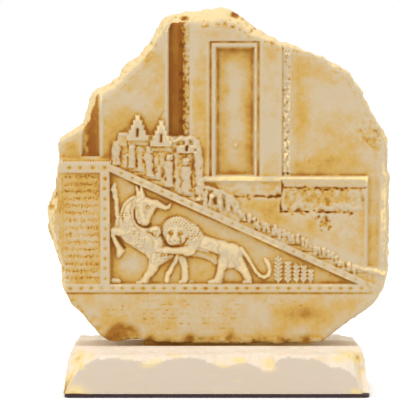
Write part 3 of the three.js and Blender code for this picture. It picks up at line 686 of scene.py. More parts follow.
def carve_trees(f):
    """Slim trees with paired leaves that point up."""
    g = PANEL
    foot = BAND_HIGH
    for x, top, half in ((34.7, 77.6, 2), (40.2, 74.2, 1.7), (45, 72.9, 1.6), (49.2, 71.4, 1.5),
            (53, 69.6, 1.4)):
        parts = bars([(x, foot, 0.6), (x, top - 0.8, 0.55)], g, 1.2)
        for z in np.arange(foot + 1.6, top - 1.2, 2.25):
            for side in (-1, 1):
                parts += bars([(x + 0.3 * side, z, 0.6), (x + half * 0.8 * side, z + 1.5, 0.75)], g, 1.4)
        parts.append(dome(x, top - 0.4, 0.8, 1.2, g, 1.3))
        f.stand(parts, 0.45)


def carve_bull(f):
    """The bull, rearing and looking at the viewer."""
    g = PANEL
    body = pillow([(-57.5, 90.5), (-56.5, 94), (-55.6, 98), (-54.6, 102), (-53.6, 106), (-52, 108.4),
        (-50, 110.2), (-48, 111.4), (-45, 112.5), (-41, 111.8), (-38, 108), (-36.5, 102), (-38, 96),
        (-40, 93.2), (-38, 90.8), (-34, 88.2), (-31, 85.7), (-27, 82), (-23.6, 79.5), (-24, 77),
        (-27.5, 74.6), (-31, 73), (-33, 71), (-34.5, 69.5), (-36, 67.5), (-37.3, 66), (-38, 63.2),
        (-39, 61), (-46.4, 61), (-44.6, 63.3), (-41.8, 66), (-40, 68), (-38.6, 70), (-38, 73), (-37.6, 76),
        (-39, 77.6), (-42, 79), (-46, 81.5), (-50, 85), (-54, 88.3), (-57.5, 89.3)], g, 2.3, 3.2)
    f.stand([*bars([(-20.8, 79, 2.8), (-18.6, 73.5, 2.3), (-17.9, 69, 2), (-18, 65, 2.2)], g, 2),
        bar((-18.3, 63.6, 2), (-20.6, 62.7, 1.3), g, 1.9)], 0.6)
    f.stand([*bars([(-22, 79.5, 1.3), (-23.2, 75, 1.2), (-25.4, 71, 1.3), (-27.6, 67.2, 1.5),
        (-28.3, 63.6, 1.6)], g + 0.2, 2.1)], 0.6)
    f.stand([body, bar((-46.5, 101, 8), (-48.5, 93, 7.6), g, 3.1),
        bar((-47.5, 91, 7.2), (-37, 84.6, 6.8), g, 3.2), bar((-36, 82.5, 5.8), (-33.6, 77, 5), g, 3.2),
        *bars([(-34.8, 75.5, 4), (-36, 71, 2.9), (-39.2, 66.4, 2), (-40.6, 63.6, 1.8)], g, 2.9),
        bar((-40.4, 62.9, 1.6), (-45, 62.6, 0.9), g, 2)], 1)
    foreleg = pillow([(-60.2, 93.4), (-55, 94.2), (-50, 94.6), (-48.5, 90), (-53, 89.4), (-56.4, 89.6),
        (-55.5, 86.2), (-53.8, 83.6), (-52.8, 81.7), (-51.6, 80.5), (-53, 78.9), (-54.4, 77), (-55.6, 76.2),
        (-57, 77.4), (-56.4, 79), (-56.6, 81), (-58.2, 85), (-59.9, 89)], g + 0.3, 2.4, 2.2)
    f.stand([foreleg, bar((-50.5, 91.4, 3), (-58, 91.6, 2.2), g + 0.6, 2.8),
        *bars([(-58.4, 89.6, 1.6), (-55.6, 82.5, 1.3), (-54.8, 79.2, 1.7)], g + 0.3, 2.6)], 0.6)
    f.groove([(-57, 88.9), (-54.6, 85.6), (-52.2, 82.4)], 0.75, 1.3, 1, 0.3)
    carve_bull_coat(f)
    carve_bull_head(f)


def carve_bull_coat(f):
    """Folds of the neck, and curls on the chest, flank and haunch."""
    f.groove([(-52.8, 97), (-53.3, 101), (-51.8, 105.4), (-49.4, 108.3), (-46.8, 110)], 0.5, 0.9)
    f.groove([(-54.3, 97), (-54.6, 100.5), (-53.2, 105.6), (-50.6, 109), (-47.6, 111)], 0.55, -0.5)
    for z in (98.6, 100, 101.4):
        f.groove([(-55.2, z + 0.5), (-52.8, z + 0.7), (-50.4, z + 0.9)], 0.3, 0.6)
    f.groove([(-47.6, 108.4), (-48.6, 103), (-47.6, 98), (-46, 94.5), (-43, 92.3)], 0.6, 0.7)
    for region in ([(-51, 98), (-46.5, 97), (-44, 93), (-39.5, 86), (-42, 82), (-46.5, 83.5), (-51.5, 90)],
            [(-36.5, 81), (-32, 83), (-27.5, 79.5), (-26, 76), (-32, 74), (-36, 76)]):
        curls(f, region, 1.7, 0.7)
    curls(f, [(-54.5, 99), (-53, 106), (-50, 109), (-48.5, 104), (-48, 98), (-51, 94.5)], 1.9, 0.45, 0.1)
    f.groove([(-46.4, 106), (-46.6, 102.5), (-46.5, 99), (-45, 96.4), (-42.6, 94.6), (-39.6, 94.4)], 0.5,
        0.7)
    f.tint_line([(-46.6, 103), (-46.4, 99), (-45, 96.4), (-42.6, 94.6), (-39.6, 94.2)], 0.8, 0.25)
    f.groove([(-39.4, 91), (-37, 88.4), (-35.6, 85), (-36.2, 81.6)], 0.8, 0.5)
    f.groove([(-35.8, 80.4), (-37.4, 77.4), (-37.2, 74)], 0.5, 0.35)
    f.press(-41, 88, 3.4, 2.6, -0.3)


def curls(f, region, pitch, height, pits=0.2):
    """Uneven rows of small round curls, each with a stained pit beside it."""
    xs, zs = [p[0] for p in region], [p[1] for p in region]
    edge, picks = rounded_outline(region), np.random.default_rng(len(region))
    for row, z in enumerate(np.arange(min(zs), max(zs), 0.88 * pitch)):
        for x in np.arange(min(xs) + 0.5 * pitch * (row % 2), max(xs), pitch):
            cx, cz = x + picks.uniform(-0.22, 0.22) * pitch, z + picks.uniform(-0.2, 0.2) * pitch
            strength = picks.uniform(0.5, 1.2)
            if inside(edge, np.array([cx]), np.array([cz]))[0] > 0.25 * pitch:
                f.press(cx, cz, 0.44 * pitch, 0.42 * pitch, -height * strength)
                f.press(cx + 0.5 * pitch, cz - 0.36 * pitch, 0.24 * pitch, 0.22 * pitch,
                    0.8 * height * strength)
                f.tint(cx + 0.5 * pitch, cz - 0.36 * pitch, 0.36 * pitch, 0.34 * pitch, pits * strength)


def carve_bull_head(f):
    """The head seen from the front, with ears, horn and crown of hair."""
    g = PANEL + 0.9
    ears = [*bars([(-43.6, 111.2, 1.5), (-45.1, 116.9, 0.6)], g, 1.7),
        *bars([(-42.2, 110.8, 1.8), (-42.3, 114, 1.4), (-42.4, 117, 0.6)], g, 2)]
    f.stand(ears, 0.4)
    horn = bars([(-34.5, 107.6, 2), (-31.6, 106.4, 1.5), (-29.2, 105, 1.2), (-27.2, 105.5, 0.95),
        (-26.2, 107.3, 0.5)], g, 1.9)
    f.stand(horn, 0.5)
    head = pillow([(-45.6, 110), (-46.4, 107.2), (-46.2, 104), (-46.5, 101), (-46, 99), (-45, 97.3),
        (-43.6, 95.9), (-42, 95.2), (-40.4, 94.9), (-39.2, 95.4), (-38.2, 96.6), (-37.4, 98.2),
        (-36.3, 101), (-35, 104), (-33, 105.8), (-31.6, 107.4), (-33.4, 109.4), (-36, 109.7),
        (-38.5, 110.3), (-41, 111.4), (-43.5, 111.6)], g, 2.3, 2.6)
    f.stand([head, bar((-42.2, 106, 3.4), (-41.3, 98.4, 2.6), g, 3),
        bar((-43.9, 108.6, 2.2), (-35.2, 107.8, 1.7), g, 2.8), dome(-40.7, 97.4, 2.9, 2.3, g, 2.9)], 0.7)
    jaw = [(-46.4, 103.6), (-46.2, 99.6), (-44.8, 96.2), (-42.4, 94.4), (-39.6, 94), (-37.6, 95.6)]
    f.groove(jaw, 0.6, 1.1, 0.8, 0.3)
    for x, z, r in ((-38.9, 105.5, 1.35), (-44.9, 105.3, 1.05)):
        f.press(x, z, r, 0.85 * r, 0.9)
        f.press(x, z, 0.6 * r, 0.5 * r, -1.1)
        f.tint(x, z, 1.1 * r, 0.9 * r, 0.22)
        f.groove([(x - 1.3 * r, z + 0.5), (x, z + 1.5 * r), (x + 1.2 * r, z + 0.8)], 0.45, -0.5)
    f.grooves(([(-43, 108), (-42.3, 103), (-41.7, 98.6)], 0.9, -0.25),
        ([(-40.9, 103.6), (-40, 101), (-39.9, 98.8)], 0.4, 0.3),
        ([(-44.3, 103.2), (-43.9, 100.6)], 0.35, 0.3))
    f.press(-39.9, 97.3, 0.6, 0.5, 0.9)
    f.press(-42.4, 97.1, 0.6, 0.5, 0.8)
    f.groove([(-43, 95.9), (-41.2, 95.5), (-39.4, 95.9)], 0.32, 0.7)
    curls(f, [(-46, 108), (-46, 111), (-43, 112), (-38, 111), (-38, 108.4), (-42, 107.6)], 1.5, 0.6)
    f.groove([(-38.5, 108.7), (-36, 108.3), (-33.6, 107.8)], 0.4, 0.35)
    f.press(-45.9, 113, 0.7, 0.7, 0.5)
    f.press(-43.5, 114.6, 0.4, 0.9, 0.8)


def carve_lion(f):
    """The lion, its head full face in a collar of locks, its body stretched along the stairs."""
    g = PANEL
    body = pillow([(-31.2, 90), (-31, 93), (-30, 96), (-28, 98.6), (-25, 100.2), (-22, 100.8), (-19, 99.9),
        (-16, 98.4), (-13.5, 96.6), (-11.5, 94.6), (-9.5, 92.4), (-8, 90.6), (-6, 89.1), (-4, 88.3),
        (-1, 87.4), (1, 86.6), (4, 86), (8, 85), (11, 83.9), (13, 83.1), (14.6, 81.5), (14.8, 78), (15, 74),
        (16, 71), (17.5, 69), (19, 66.5), (20, 64), (20.6, 61), (13.4, 61), (15.2, 64), (15.8, 65.6),
        (14, 67.6), (12, 69.2), (10, 70.4), (8, 71.2), (5.8, 70.8), (4.6, 69), (4, 66), (3.4, 64),
        (3.2, 61), (-5.6, 61), (-4.3, 63.2), (-1.9, 64.6), (-0.5, 66), (0, 68), (0.1, 70), (0.6, 73),
        (1, 76), (0.6, 78.6), (-1, 79.4), (-4, 80.6), (-7, 82), (-10, 82.4), (-12.6, 80.8), (-14.5, 78.6),
        (-18, 79), (-22, 82.5), (-27, 85)], g, 2.2, 3)
    f.stand([pillow([(-15, 78.6), (-10, 82.2), (-4, 80.4), (1, 78.4), (1.4, 73.4), (-1, 72.2), (-3, 74),
        (-6, 75.6), (-10, 77), (-14.4, 77.3)], g, 1.3, 1.6, 1)])
    f.stand(bars([(13.6, 81.6, 1.5), (16.4, 78.2, 1.2), (18.6, 74.8, 1.05), (20.4, 71.6, 1),
        (22.2, 68.6, 1), (24.4, 66.3, 1), (27, 65.5, 1), (29.2, 66.9, 1), (29.9, 69.6, 1.05),
        (29.5, 72.3, 1.3), (28.4, 74.6, 1.5), (27.2, 76, 0.7)], g, 2.1), 0.5)
    f.stand([body, bar((-22.4, 91.5, 8.2), (-15, 88.8, 7.2), g, 3.3),
        bar((-11.6, 85.6, 4.8), (4, 81.8, 4.4), g, 3.2), bar((8, 79, 6.2), (7.6, 76.6, 6), g, 3.5),
        *bars([(3.9, 75, 3.4), (2.2, 68.4, 2.2), (0.4, 64.8, 1.8)], g, 2.9),
        bar((-0.2, 63.4, 1.7), (-4.2, 62.7, 1), g, 2.1),
        *bars([(12, 74.8, 3.4), (15.6, 69.4, 2.3), (18, 64.8, 1.9)], g, 2.9),
        bar((18.2, 63.4, 1.7), (15.4, 62.7, 1), g, 2.1),
        bar((-12.6, 85.8, 4.4), (-14.2, 81.8, 3.2), g, 3.5)], 1)
    for x in np.arange(-13, 0, 1.5):
        f.groove([(x, 81.6 - 0.2 * (x + 13)), (x + 1.6, 76.2 - 0.3 * (x + 13) * 0.7)], 0.35, 0.32)
    f.groove([(-10.4, 82.4), (-7, 81.6), (-3.6, 80.2), (0.4, 78.6)], 0.45, 0.7)
    carve_lion_limbs(f)
    carve_mane(f)
    carve_lion_face(f)


def carve_lion_limbs(f):
    """The forelegs that grip the bull, the muscles and the paws."""
    g = PANEL
    forearm = pillow([(-34.6, 79.6), (-31, 78.9), (-26, 79.1), (-20, 78.8), (-15.6, 77.4), (-12.4, 79),
        (-11, 83), (-14, 85.4), (-18, 83.4), (-24, 82.7), (-29, 83), (-33.4, 83), (-35.4, 81.6)], g + 1.5,
        1.9, 1.8)
    f.stand([forearm, bar((-16.6, 80.9, 2.2), (-30, 80.9, 1.9), g + 1.5, 2.3),
        dome(-33, 80.9, 2.4, 2, g + 1.5, 2.4)], 0.5)
    for z in (80, 81.4):
        f.groove([(-35, z + 0.1), (-32.6, z)], 0.3, 0.5)
    f.groove([(-30.8, 79.2), (-30.4, 82.6)], 0.4, 0.3)
    f.tint_line([(-34, 78.6), (-26, 78.4), (-18, 78)], 0.8, 0.25)
    paw = pillow([(-38.9, 92.6), (-37, 94.1), (-34.4, 94.7), (-32, 94), (-31.2, 91.6), (-32.4, 89),
        (-33.8, 88.2), (-35, 89.6), (-36.6, 91)], g + 1.6, 1.5, 1.6)
    f.stand([paw, bar((-37, 92.8, 1.1), (-33.4, 93.2, 1.3), g + 1.6, 1.7)], 0.4)
    for k in range(3):
        x = -35.9 + 1.3 * k
        f.groove([(x, 92.2), (x - 0.2 + 0.5 * k, 89.4)], 0.32, 0.8)
        f.tint_line([(x, 92), (x - 0.2 + 0.5 * k, 89.6)], 0.4, 0.25)
    f.grooves(([(-39.4, 92), (-37, 90.4), (-35, 88.4)], 0.5, 0.5),
        ([(-10.4, 90), (-9.2, 86.6), (-9.8, 83.4)], 0.7, 0.45),
        ([(1.6, 84.8), (0.6, 81.6), (1.6, 78.4)], 0.7, 0.45),
        ([(5.6, 77.5), (6.6, 74), (6, 71.6)], 0.6, 0.3),
        ([(12.6, 79.6), (11.6, 76), (12.6, 72.4)], 0.6, 0.3))
    f.press(8.4, 80.4, 3.4, 3, -0.3)
    for x in (-4.2, -3.3, 15.6, 16.5):
        f.groove([(x, 62.2), (x, 63.3)], 0.25, 0.35)


def carve_mane(f):
    """Rows of pellet curls round the crown and down the neck."""
    centre_x, centre_z = -23.2, 89.6
    for ring, (reach, first, last) in enumerate(((6.9, 196, -8), (8.4, 190, -4), (9.9, 178, 24))):
        count = int(abs(first - last) / 180 * math.pi * reach / 1.5)
        for i in range(count + 1):
            angle = math.radians(first + (last - first) * (i + 0.5 * (ring % 2)) / count)
            x, z = centre_x + reach * math.cos(angle), centre_z + reach * math.sin(angle)
            f.press(x, z, 0.62, 0.62, -0.6 - 0.15 * math.sin(7 * i))
            between = angle - 0.75 / reach
            x = centre_x + (reach + 0.5) * math.cos(between)
            z = centre_z + (reach + 0.5) * math.sin(between)
            f.press(x, z, 0.42, 0.42, 0.6)
            f.tint(x, z, 0.6, 0.6, 0.38)
    f.groove([(-28.8, 91), (-27.6, 94.4), (-25, 95.7), (-20.6, 95.4), (-17.6, 93), (-16.9, 89.6)], 0.42,
        0.2)
    curls(f, [(-14.6, 98.4), (-12, 96.4), (-9.5, 93.6), (-6.6, 90.4), (-8.2, 87), (-12, 86.4),
        (-14.8, 85.6), (-15.6, 87.6), (-14.8, 92), (-13.6, 95)], 1.55, 0.85, 0.34)
    f.groove([(-16.7, 88.4), (-17.6, 86), (-19.6, 83.8)], 0.6, 0.8)
    # Painted shadow down the right side of the lion's face.
    f.tint_line([(-16.7, 88.4), (-17.8, 86), (-20, 83.8)], 0.8, 0.25)


def carve_lion_face(f):
    """Brows, eyes, cheeks, nose and the broad muzzle."""
    g = PANEL + 1.5
    f.stand([pillow([(-28.6, 91), (-27.8, 94.2), (-25.6, 95.4), (-22.8, 95.2), (-19.6, 95), (-17.8, 92.6),
        (-17.2, 89.4), (-18.2, 86.4), (-20.4, 84.2), (-23.4, 83), (-26.4, 83.6), (-28.4, 85.8),
        (-29, 88.6)], g, 1.5, 2.8), dome(-23.6, 86.7, 3.6, 2.9, g, 2.6),
        bar((-23, 94.2, 1.1), (-23.5, 88.6, 1.5), g, 2.4), dome(-19.4, 87.6, 1.9, 2.6, g, 2),
        dome(-27.2, 87.8, 1.7, 2.4, g, 2), *bars([(-27.8, 92, 0.7), (-26, 93.8, 0.9), (-23.8, 93, 0.8)], g,
        2.3), *bars([(-22.2, 93, 0.8), (-20, 93.7, 0.9), (-18.2, 92, 0.7)], g, 2.3)], 0.6)
    for x, z in ((-26, 91.1), (-20.4, 90.9)):
        f.press(x, z, 1.3, 0.9, 1.2)
        f.press(x, z, 0.75, 0.5, -0.8)
        f.tint_line([(x - 1.2, z), (x, z + 0.8), (x + 1.2, z)], 0.45, 0.4)
        f.tint_line([(x - 1.2, z - 0.6), (x, z - 1), (x + 1.2, z - 0.5)], 0.4, 0.3)
        f.groove([(x - 1.2, z - 0.7), (x, z - 1.1), (x + 1.2, z - 0.6)], 0.3, 0.4)
    f.press(-23.6, 88.4, 1.1, 0.6, -0.3)
    for side in (-1, 1):
        f.press(-23.6 + 0.9 * side, 87.7, 0.42, 0.36, 0.6)
        lip = [(-23.6, 87), (-23.6 + 1.3 * side, 85.7), (-23.6 + 2.7 * side, 86.1)]
        f.groove(lip, 0.36, 0.6, 0.45, 0.22)
        cheek = [(-23.6 + 2 * side, 89.8), (-23.6 + 3.4 * side, 87.8), (-23.6 + 3.2 * side, 85.2)]
        f.groove(cheek, 0.4, 0.5, 0.5, 0.14)
    f.groove([(-25.4, 84.6), (-23.6, 84.2), (-21.8, 84.6)], 0.3, 0.4)
    jaw = [(-29.2, 87), (-28.2, 84.4), (-26.2, 82.8), (-23.4, 82.2), (-20.6, 83.2)]
    f.groove(jaw, 0.5, 0.45, 0.7, 0.1)


def carve_bud(f):
    """The bud on its stem and the small block at the left of the panel."""
    g = PANEL
    f.stand([*bars([(-56.2, 94.5, 1.5), (-56, 100, 1.5), (-56.4, 104, 1.45), (-56.9, 110, 1.4)], g, 1.8),
        *bars([(-57.2, 111, 1.5), (-58, 115, 2.1), (-57.4, 118.4, 0.9)], g, 2.1),
        bar((-58.9, 113.4, 0.8), (-59.4, 115.6, 0.6), g, 1.8)], 0.4, 0.6)
    f.groove([(-57.4, 111), (-58.2, 116.4)], 0.3, 0.4)
    f.stand([bar((-58.3, 63.4, 1.7), (-55.9, 63.2, 1.7), g, 1.3, 4)], 0.4, 0.6)
    f.stand(bars([(-15.8, 62.2, 0.5), (-14.6, 63.4, 0.5), (-13.4, 62.9, 0.5)], g, 1), 0.3)


def outline_maps(f):
    """Distance inside the ragged front arris, the way out of it, and the inset of that arris."""
    x, z = f.x, f.z
    edge = [(a + 0.012 * (a + 9.5) * float(ease(50, 90, b)), b - float(ease(36, 31, b)))
        for a, b in BROKEN_EDGE]
    ragged = 0.7 * rough(x, 0, z, 9, 2, 51) + 0.35 * rough(x, 0, z, 2.6, 2, 53)
    f.inset = arris_inset(x, z)
    f.depth = inside(rounded_outline(edge, 1), x, z) - f.inset - 0.1 - ragged * (0.5 + 0.5 *
        ease(60, 90, z))
    slope_z, slope_x = np.gradient(soften(f.depth, 1.2, f.step), f.step)
    length = np.maximum(np.hypot(slope_x, slope_z), 1e-6)
    f.out_x, f.out_z = -slope_x / length, -slope_z / length


# Patches of stain: x, z, half width, half height and amount. The patch at -57, 80 beside the vertical band
# is painted shadow.
PATCHES = [(-47, 165, 11, 9, -0.10), (-40, 182, 6, 9, -0.10), (-52, 160, 6, 8, 0.14),
    (-56, 168, 4, 5, 0.10), (-60, 140, 3, 22, 0.20), (-40, 190, 9, 4, 0.24), (-31, 190, 3, 14, -0.12),
    (-45, 150, 12, 4, 0.12), (-33, 161, 4, 6, 0.10), (-30, 173, 3, 6, 0.08), (-82, 142, 6, 8, 0.18),
    (-70, 160, 3, 8, 0.30), (-11, 190, 3, 12, -0.06), (-9, 162, 3, 8, 0.16), (-8, 135, 3, 10, 0.14),
    (-12, 150, 2, 8, 0.14), (5, 203, 14, 5, -0.06), (31, 190, 3, 4, 0.14), (29, 165, 3, 18, -0.08),
    (31, 132, 4, 8, 0.10), (9.4, 162, 4, 24, -0.26), (9, 137, 4, 6, -0.2), (17, 150, 1.8, 34, 0.14),
    (8, 191, 8, 5, 0.16), (6, 170, 1.4, 3, 0.24), (62, 166, 12, 12, -0.22), (52, 178, 6, 8, -0.10),
    (76, 172, 6, 9, -0.04), (72, 155, 6, 4, 0.16), (55, 186, 12, 4, 0.04), (48, 160, 3, 24, 0.14),
    (60, 131, 14, 5, 0.22), (82, 131, 8, 5, 0.08), (64, 143, 8, 4, 0.02), (85, 145, 4, 6, 0.14),
    (86, 155, 3, 6, 0.06), (48, 128, 5, 3, 0.15), (75, 95, 7, 5, -0.16), (46, 95, 8, 4, -0.06),
    (62, 97, 3, 5, 0.18), (54, 97, 3, 3, 0.1), (82, 98, 2, 8, 0.14), (62, 110, 12, 3, 0.14),
    (45, 110, 4, 4, -0.08), (80, 108, 5, 5, -0.05), (20, 115, 10, 3, 0.08), (25, 106, 8, 3, 0.10),
    (5, 119, 10, 1.4, -0.08), (30, 118, 6, 1.4, -0.04), (-75, 118, 10, 6, 0.12), (-74, 100, 8, 12, -0.04),
    (-78, 78, 8, 10, 0.05), (-70, 70, 4, 10, 0.08), (-48, 72, 6, 5, -0.14), (-9, 71, 5, 5, -0.12),
    (8, 66, 5, 2.5, -0.06), (-33, 101, 3, 2.5, -0.08), (-50, 118, 5, 4, -0.08), (12, 92, 10, 3, -0.06),
    (28, 76, 5, 5, -0.04), (-57, 80, 2, 14, 0.16), (-60, 52, 14, 4, 0.06), (-45, 50, 8, 4, -0.10),
    (-10, 46, 9, 5, -0.12), (20, 47, 8, 5, -0.04), (52, 46, 14, 4, 0.18), (36, 36, 12, 4, 0.12),
    (58, 34, 5, 4, 0.10), (74, 50, 8, 4, 0.04), (-60, 41, 8, 3, 0.16), (-54, 34, 9, 5, 0.46),
    (-15, 30.5, 3.2, 3, 0.40), (8, 33, 3, 4, 0.30), (-2, 30.5, 5, 2, 0.24), (50, 30, 4, 2.4, 0.34),
    (39, 29.6, 3, 2, 0.22), (-38, 31, 3, 3, 0.26), (-28, 40, 6, 3, 0.08), (-7, 40, 3, 3, 0.16),
    (25, 30, 12, 1.6, 0.16), (-25, 30, 8, 1.6, 0.16), (93, 75, 3, 8, -0.05), (94, 100, 2.6, 34, -0.34),
    (88, 64, 5, 3, 0.16), (-80, 56.6, 40, 1.0, 0.2), (0, 56.6, 50, 1.0, 0.2), (60, 56.6, 40, 1.0, 0.2),
    (-26, 210, 8, 4, 0.2), (12, 210, 5, 3, 0.14), (-89, 108, 4, 6, 0.3), (-90, 98, 3, 4, 0.1),
    (-87.6, 84, 1.6, 8, 0.2), (-82, 52, 3, 4, 0.16), (-46, 186, 6, 4, 0.14), (-72, 150, 2.4, 9, 0.14),
    (-10, 46, 16, 9, 0.08), (-24, 78, 4, 10, 0.06), (20, 115, 14, 3, -0.1), (94, 100, 3.6, 34, -0.14),
    (66, 188, 14, 5, -0.08), (86, 160, 5, 12, -0.12), (10, 84, 20, 5, -0.06), (88, 100, 2.4, 26, -0.04),
    (-84, 56, 3, 4, 0.2), (-78, 49, 4, 3, 0.16), (-91, 104, 3, 3, 0.2), (-10, 180, 3, 14, 0.08),
    (8, 207, 12, 3, -0.08), (33, 184, 3, 10, -0.05), (-89, 118, 2, 6, 0.14), (20, 60, 60, 1.2, 0.08),
    (-30, 127, 20, 1.4, 0.04), (76, 60, 10, 2, 0.06), (-6.5, 150, 1.6, 24, 0.16), (-12, 196, 3, 10, -0.06),
    (-48, 190, 5, 4, 0.12), (-84, 40, 6, 5, 0.1), (40, 44, 20, 6, 0.06), (60, 40, 12, 5, 0.08),
    (-40, 192, 2, 8, 0.16), (-71, 160, 3, 12, 0.1), (-2, 46, 16, 4, 0.06), (75, 50, 10, 4, 0.1),
    (28, 92, 12, 4, 0.1), (-10, 110, 12, 3, -0.08), (-20, 75, 6, 5, 0.08), (10, 114, 10, 3, -0.08),
    (16, 118.4, 22, 1.6, -0.16), (-48, 117, 3, 3, -0.12), (-10, 68, 5, 6, 0.08), (-71, 142, 3, 8, 0.12),
    (-39, 190, 2.4, 4, 0.1), (48, 94, 9, 8, 0.1), (46, 45, 16, 8, 0.06), (-18, 175, 1.6, 40, 0.1),
    (2, 160, 1.2, 34, -0.12), (16, 89, 12, 2, -0.1), (12, 59.8, 70, 1.2, 0.06), (83, 155, 4, 6, -0.06),
    (30, 98, 12, 5, 0.14), (48, 86, 10, 5, 0.08), (16, 112, 8, 3, 0.1), (-34, 45, 14, 6, 0.05),
    (2, 106, 3, 6, 0.08), (-37, 107, 6, 8, 0.08), (-30, 84, 8, 8, 0.08), (-38, 143, 14, 5, 0.08),
    (10, 45, 10, 5, 0.08), (60, 44, 10, 5, 0.05), (-58, 150, 5, 12, 0.08), (-23.5, 175, 2.4, 34, 0.12),
    (-18, 175, 1.8, 40, 0.08), (-71, 142, 3, 8, 0.1), (0, 59.5, 70, 1.8, 0.05), (95, 98, 2.4, 26, -0.12)]

# Fields of stain: left, low, right, high, amount and width of the soft edge. The field over the door panel
# from 0.2, 124 is painted shade in the recess, and the paler field on the cornice is a painted highlight.
STAIN_AND_LIGHT_FIELDS = [(-OUT, 62, -66, 124.8, 0.12, 1), (0.2, 124, 20.4, 195, 0.10, 5),
    (4, 130, 17, 190, -0.10, 6), (-7.5, CORNICE_LOW + 0.4, MASONRY_RIGHT, CORNICE_HIGH, -0.3, 1.2),
    (-OUT, 26, OUT, 33, 0.2, 3), (-76, 150, -66.4, 172, 0.25, 3), (-21.4, 145, -18.2, 209, 0.3, 2),
    (-19, 145, -15.6, 209, 0.14, 1), (37.2, 123, 41.2, 200, -0.46, 1),
    (-OUT, 28, OUT, BAND_LOW - 1.5, 0.08, 1)]


def figure_share(f):
    """The window of the panel, and how far each place in it belongs to a figure."""
    w, panel = f.share([(SIDE_RIGHT, BAND_HIGH), (79, BAND_HIGH), (SIDE_RIGHT, stair_low(SIDE_RIGHT))], 1.0)
    return w, panel, panel * ease(1.9, 2.7, f.rise[w])


def weather_figures(f):
    """Hand-worked unevenness of the animals, with the stain left in its hollows."""
    w, panel, figure = figure_share(f)
    x, z = f.x[w], f.z[w]
    lumps = rough(x, 2, z, 3.8, 3, 57)
    f.rise[w] += figure * 0.34 * lumps
    f.stain_and_shade[w] += 0.1 * panel - figure * (0.27 + 0.1 * lumps + 0.1 * rough(x, 4, z, 7, 2, 59))
    f.stain_and_shade[w] += 1.1 * figure * f.hollows(1.3, -0.3, 0.4)[w]


def stain_and_shade_front(f):
    """Spreads the stain: deep in hollows, thin on worn edges, and uneven over plain faces; it also paints
    shade beside the vertical band and on the recessed door panel, and highlights on convex edges, the arris
    and the cornice.
    """
    x, z, depth = f.x, f.z, f.depth
    tight, middle, wide = f.hollows(0.7, -0.4, 0.4), f.hollows(1.8, -0.9, 0.9), f.hollows(4.5, -2, 2)
    broad = rough(x + 6 * rough(x, 3, z, 12, 2, 63), 0, z, 15, 4, 61)
    small = rough(x, 0, z, 4.5, 3, 67)
    fine = rough(x, 0, z, 1.3, 2, 69)
    # Stain gathers in hollows as real patina; the paler convex edges are partly wear and partly a painted
    # highlight.
    f.stain_and_shade += 0.33 + 0.17 * broad + 0.09 * small + 0.06 * fine + 0.16 * middle + 0.04 * wide
    f.stain_and_shade += tight * (0.75 + 0.5 * small)
    f.stain_and_shade += 0.03 * np.clip(1.6 - f.rise, -2, 2) + 0.45 * ease(-1.9, -3.6, f.rise)
    for patch in PATCHES:
        f.tint(*patch)
    for left, low, right, high, amount, edge in STAIN_AND_LIGHT_FIELDS:
        f.tint_in(box(left, low, right, high), amount, edge)
    # Painted shadow cast by the vertical band on the panel beside it.
    f.tint_line([(-59, 66), (-59, 118)], 0.9, 0.2)
    # Paler towards the front arris: partly wear, partly a painted highlight on the broken edge.
    f.stain_and_shade -= 0.42 * fade(depth, 1.2) * (0.8 + 0.5 * small) * (0.3 + 0.7 * ease(34, 60, z))
    dots = smooth((rough(x, 5, z, 1.6, 2, 75) + 0.1) / 0.5)
    line = bell((depth - 1.7) / 0.8) * ease(36, 60, z)
    line = np.maximum(line, 3 * bell((depth - 0.5) / 0.55) * ease(186, 196, z))
    line = np.maximum(line, 1.6 * bell((depth - 0.7) / 0.8) * ease(-66, -74, x) * ease(64, 56, z))
    f.stain_and_shade += 0.34 * dots * line
    w, crowd = f.share([(-60, 125), (-60, 141), (-8, 139), (2, 112), (2, 96)], 1.5)
    f.stain_and_shade[w] += crowd * (0.9 * clamped(tight[w]) + 0.1 * clamped(middle[w]))
    w, _, figure = figure_share(f)
    f.stain_and_shade[w] += (np.maximum(f.stain_and_shade[w], -0.24) - f.stain_and_shade[w]) * figure * 0.9


def carve_front(step):
    """The whole carved front, worn and stained."""
    f = Front(step)
    for carve in (carve_wall, carve_masonry, carve_fields, carve_climbers, carve_guards, carve_trees,
            carve_bud, carve_bull, carve_lion, weather_figures, carve_studs, carve_inscription,
            carve_lower_block):
        carve(f)
    f.rise = 0.35 * f.rise + 0.65 * soften(f.rise, 0.34, f.step)
    f.rise += 0.10 * rough(f.x, 0, f.z, 9, 2, 71) + 0.05 * rough(f.x, 0, f.z, 2.2, 2, 73)
    outline_maps(f)
    f.rise -= 0.9 * fade(f.depth, 0.9)
    stain_and_shade_front(f)
    return f


def vectors(items, name):
    """A vector of each vertex, one to a row."""
    values = np.empty(len(items) * 3, np.float32)
    items.foreach_get(name, values)
    return values.reshape(-1, 3).astype(float)


def points_of(mesh):
    return vectors(mesh.vertices, "co") / MM


def set_points(mesh, co):
    mesh.vertices.foreach_set("co", (co * MM).astype(np.float32).ravel())
    mesh.update()


def set_map(mesh, name, values):
    """Keeps one value for each vertex, for the materials."""
    mesh.attributes.new(name, "FLOAT", "POINT").data.foreach_set("value", values.astype(np.float32))


def new_object(name, data):
    made = bpy.data.objects.new(name, data)
    bpy.context.scene.collection.objects.link(made)
    return made


def new_piece(name, bm):
    """A new object of what a bmesh holds."""
    mesh = bpy.data.meshes.new(name)
    bm.to_mesh(mesh)
    bm.free()
    return new_object(name, mesh)


def modify(piece, kind, **values):
    """Puts the result of one modifier in a piece's mesh."""
    modifier = piece.modifiers.new(kind.title(), kind)
    for name, value in values.items():
        setattr(modifier, name, value)
    old = piece.data
    piece.data = bpy.data.meshes.new_from_object(piece.evaluated_get(bpy.context.evaluated_depsgraph_get()))
    piece.modifiers.clear()
    bpy.data.meshes.remove(old)
    piece.data.name = piece.name


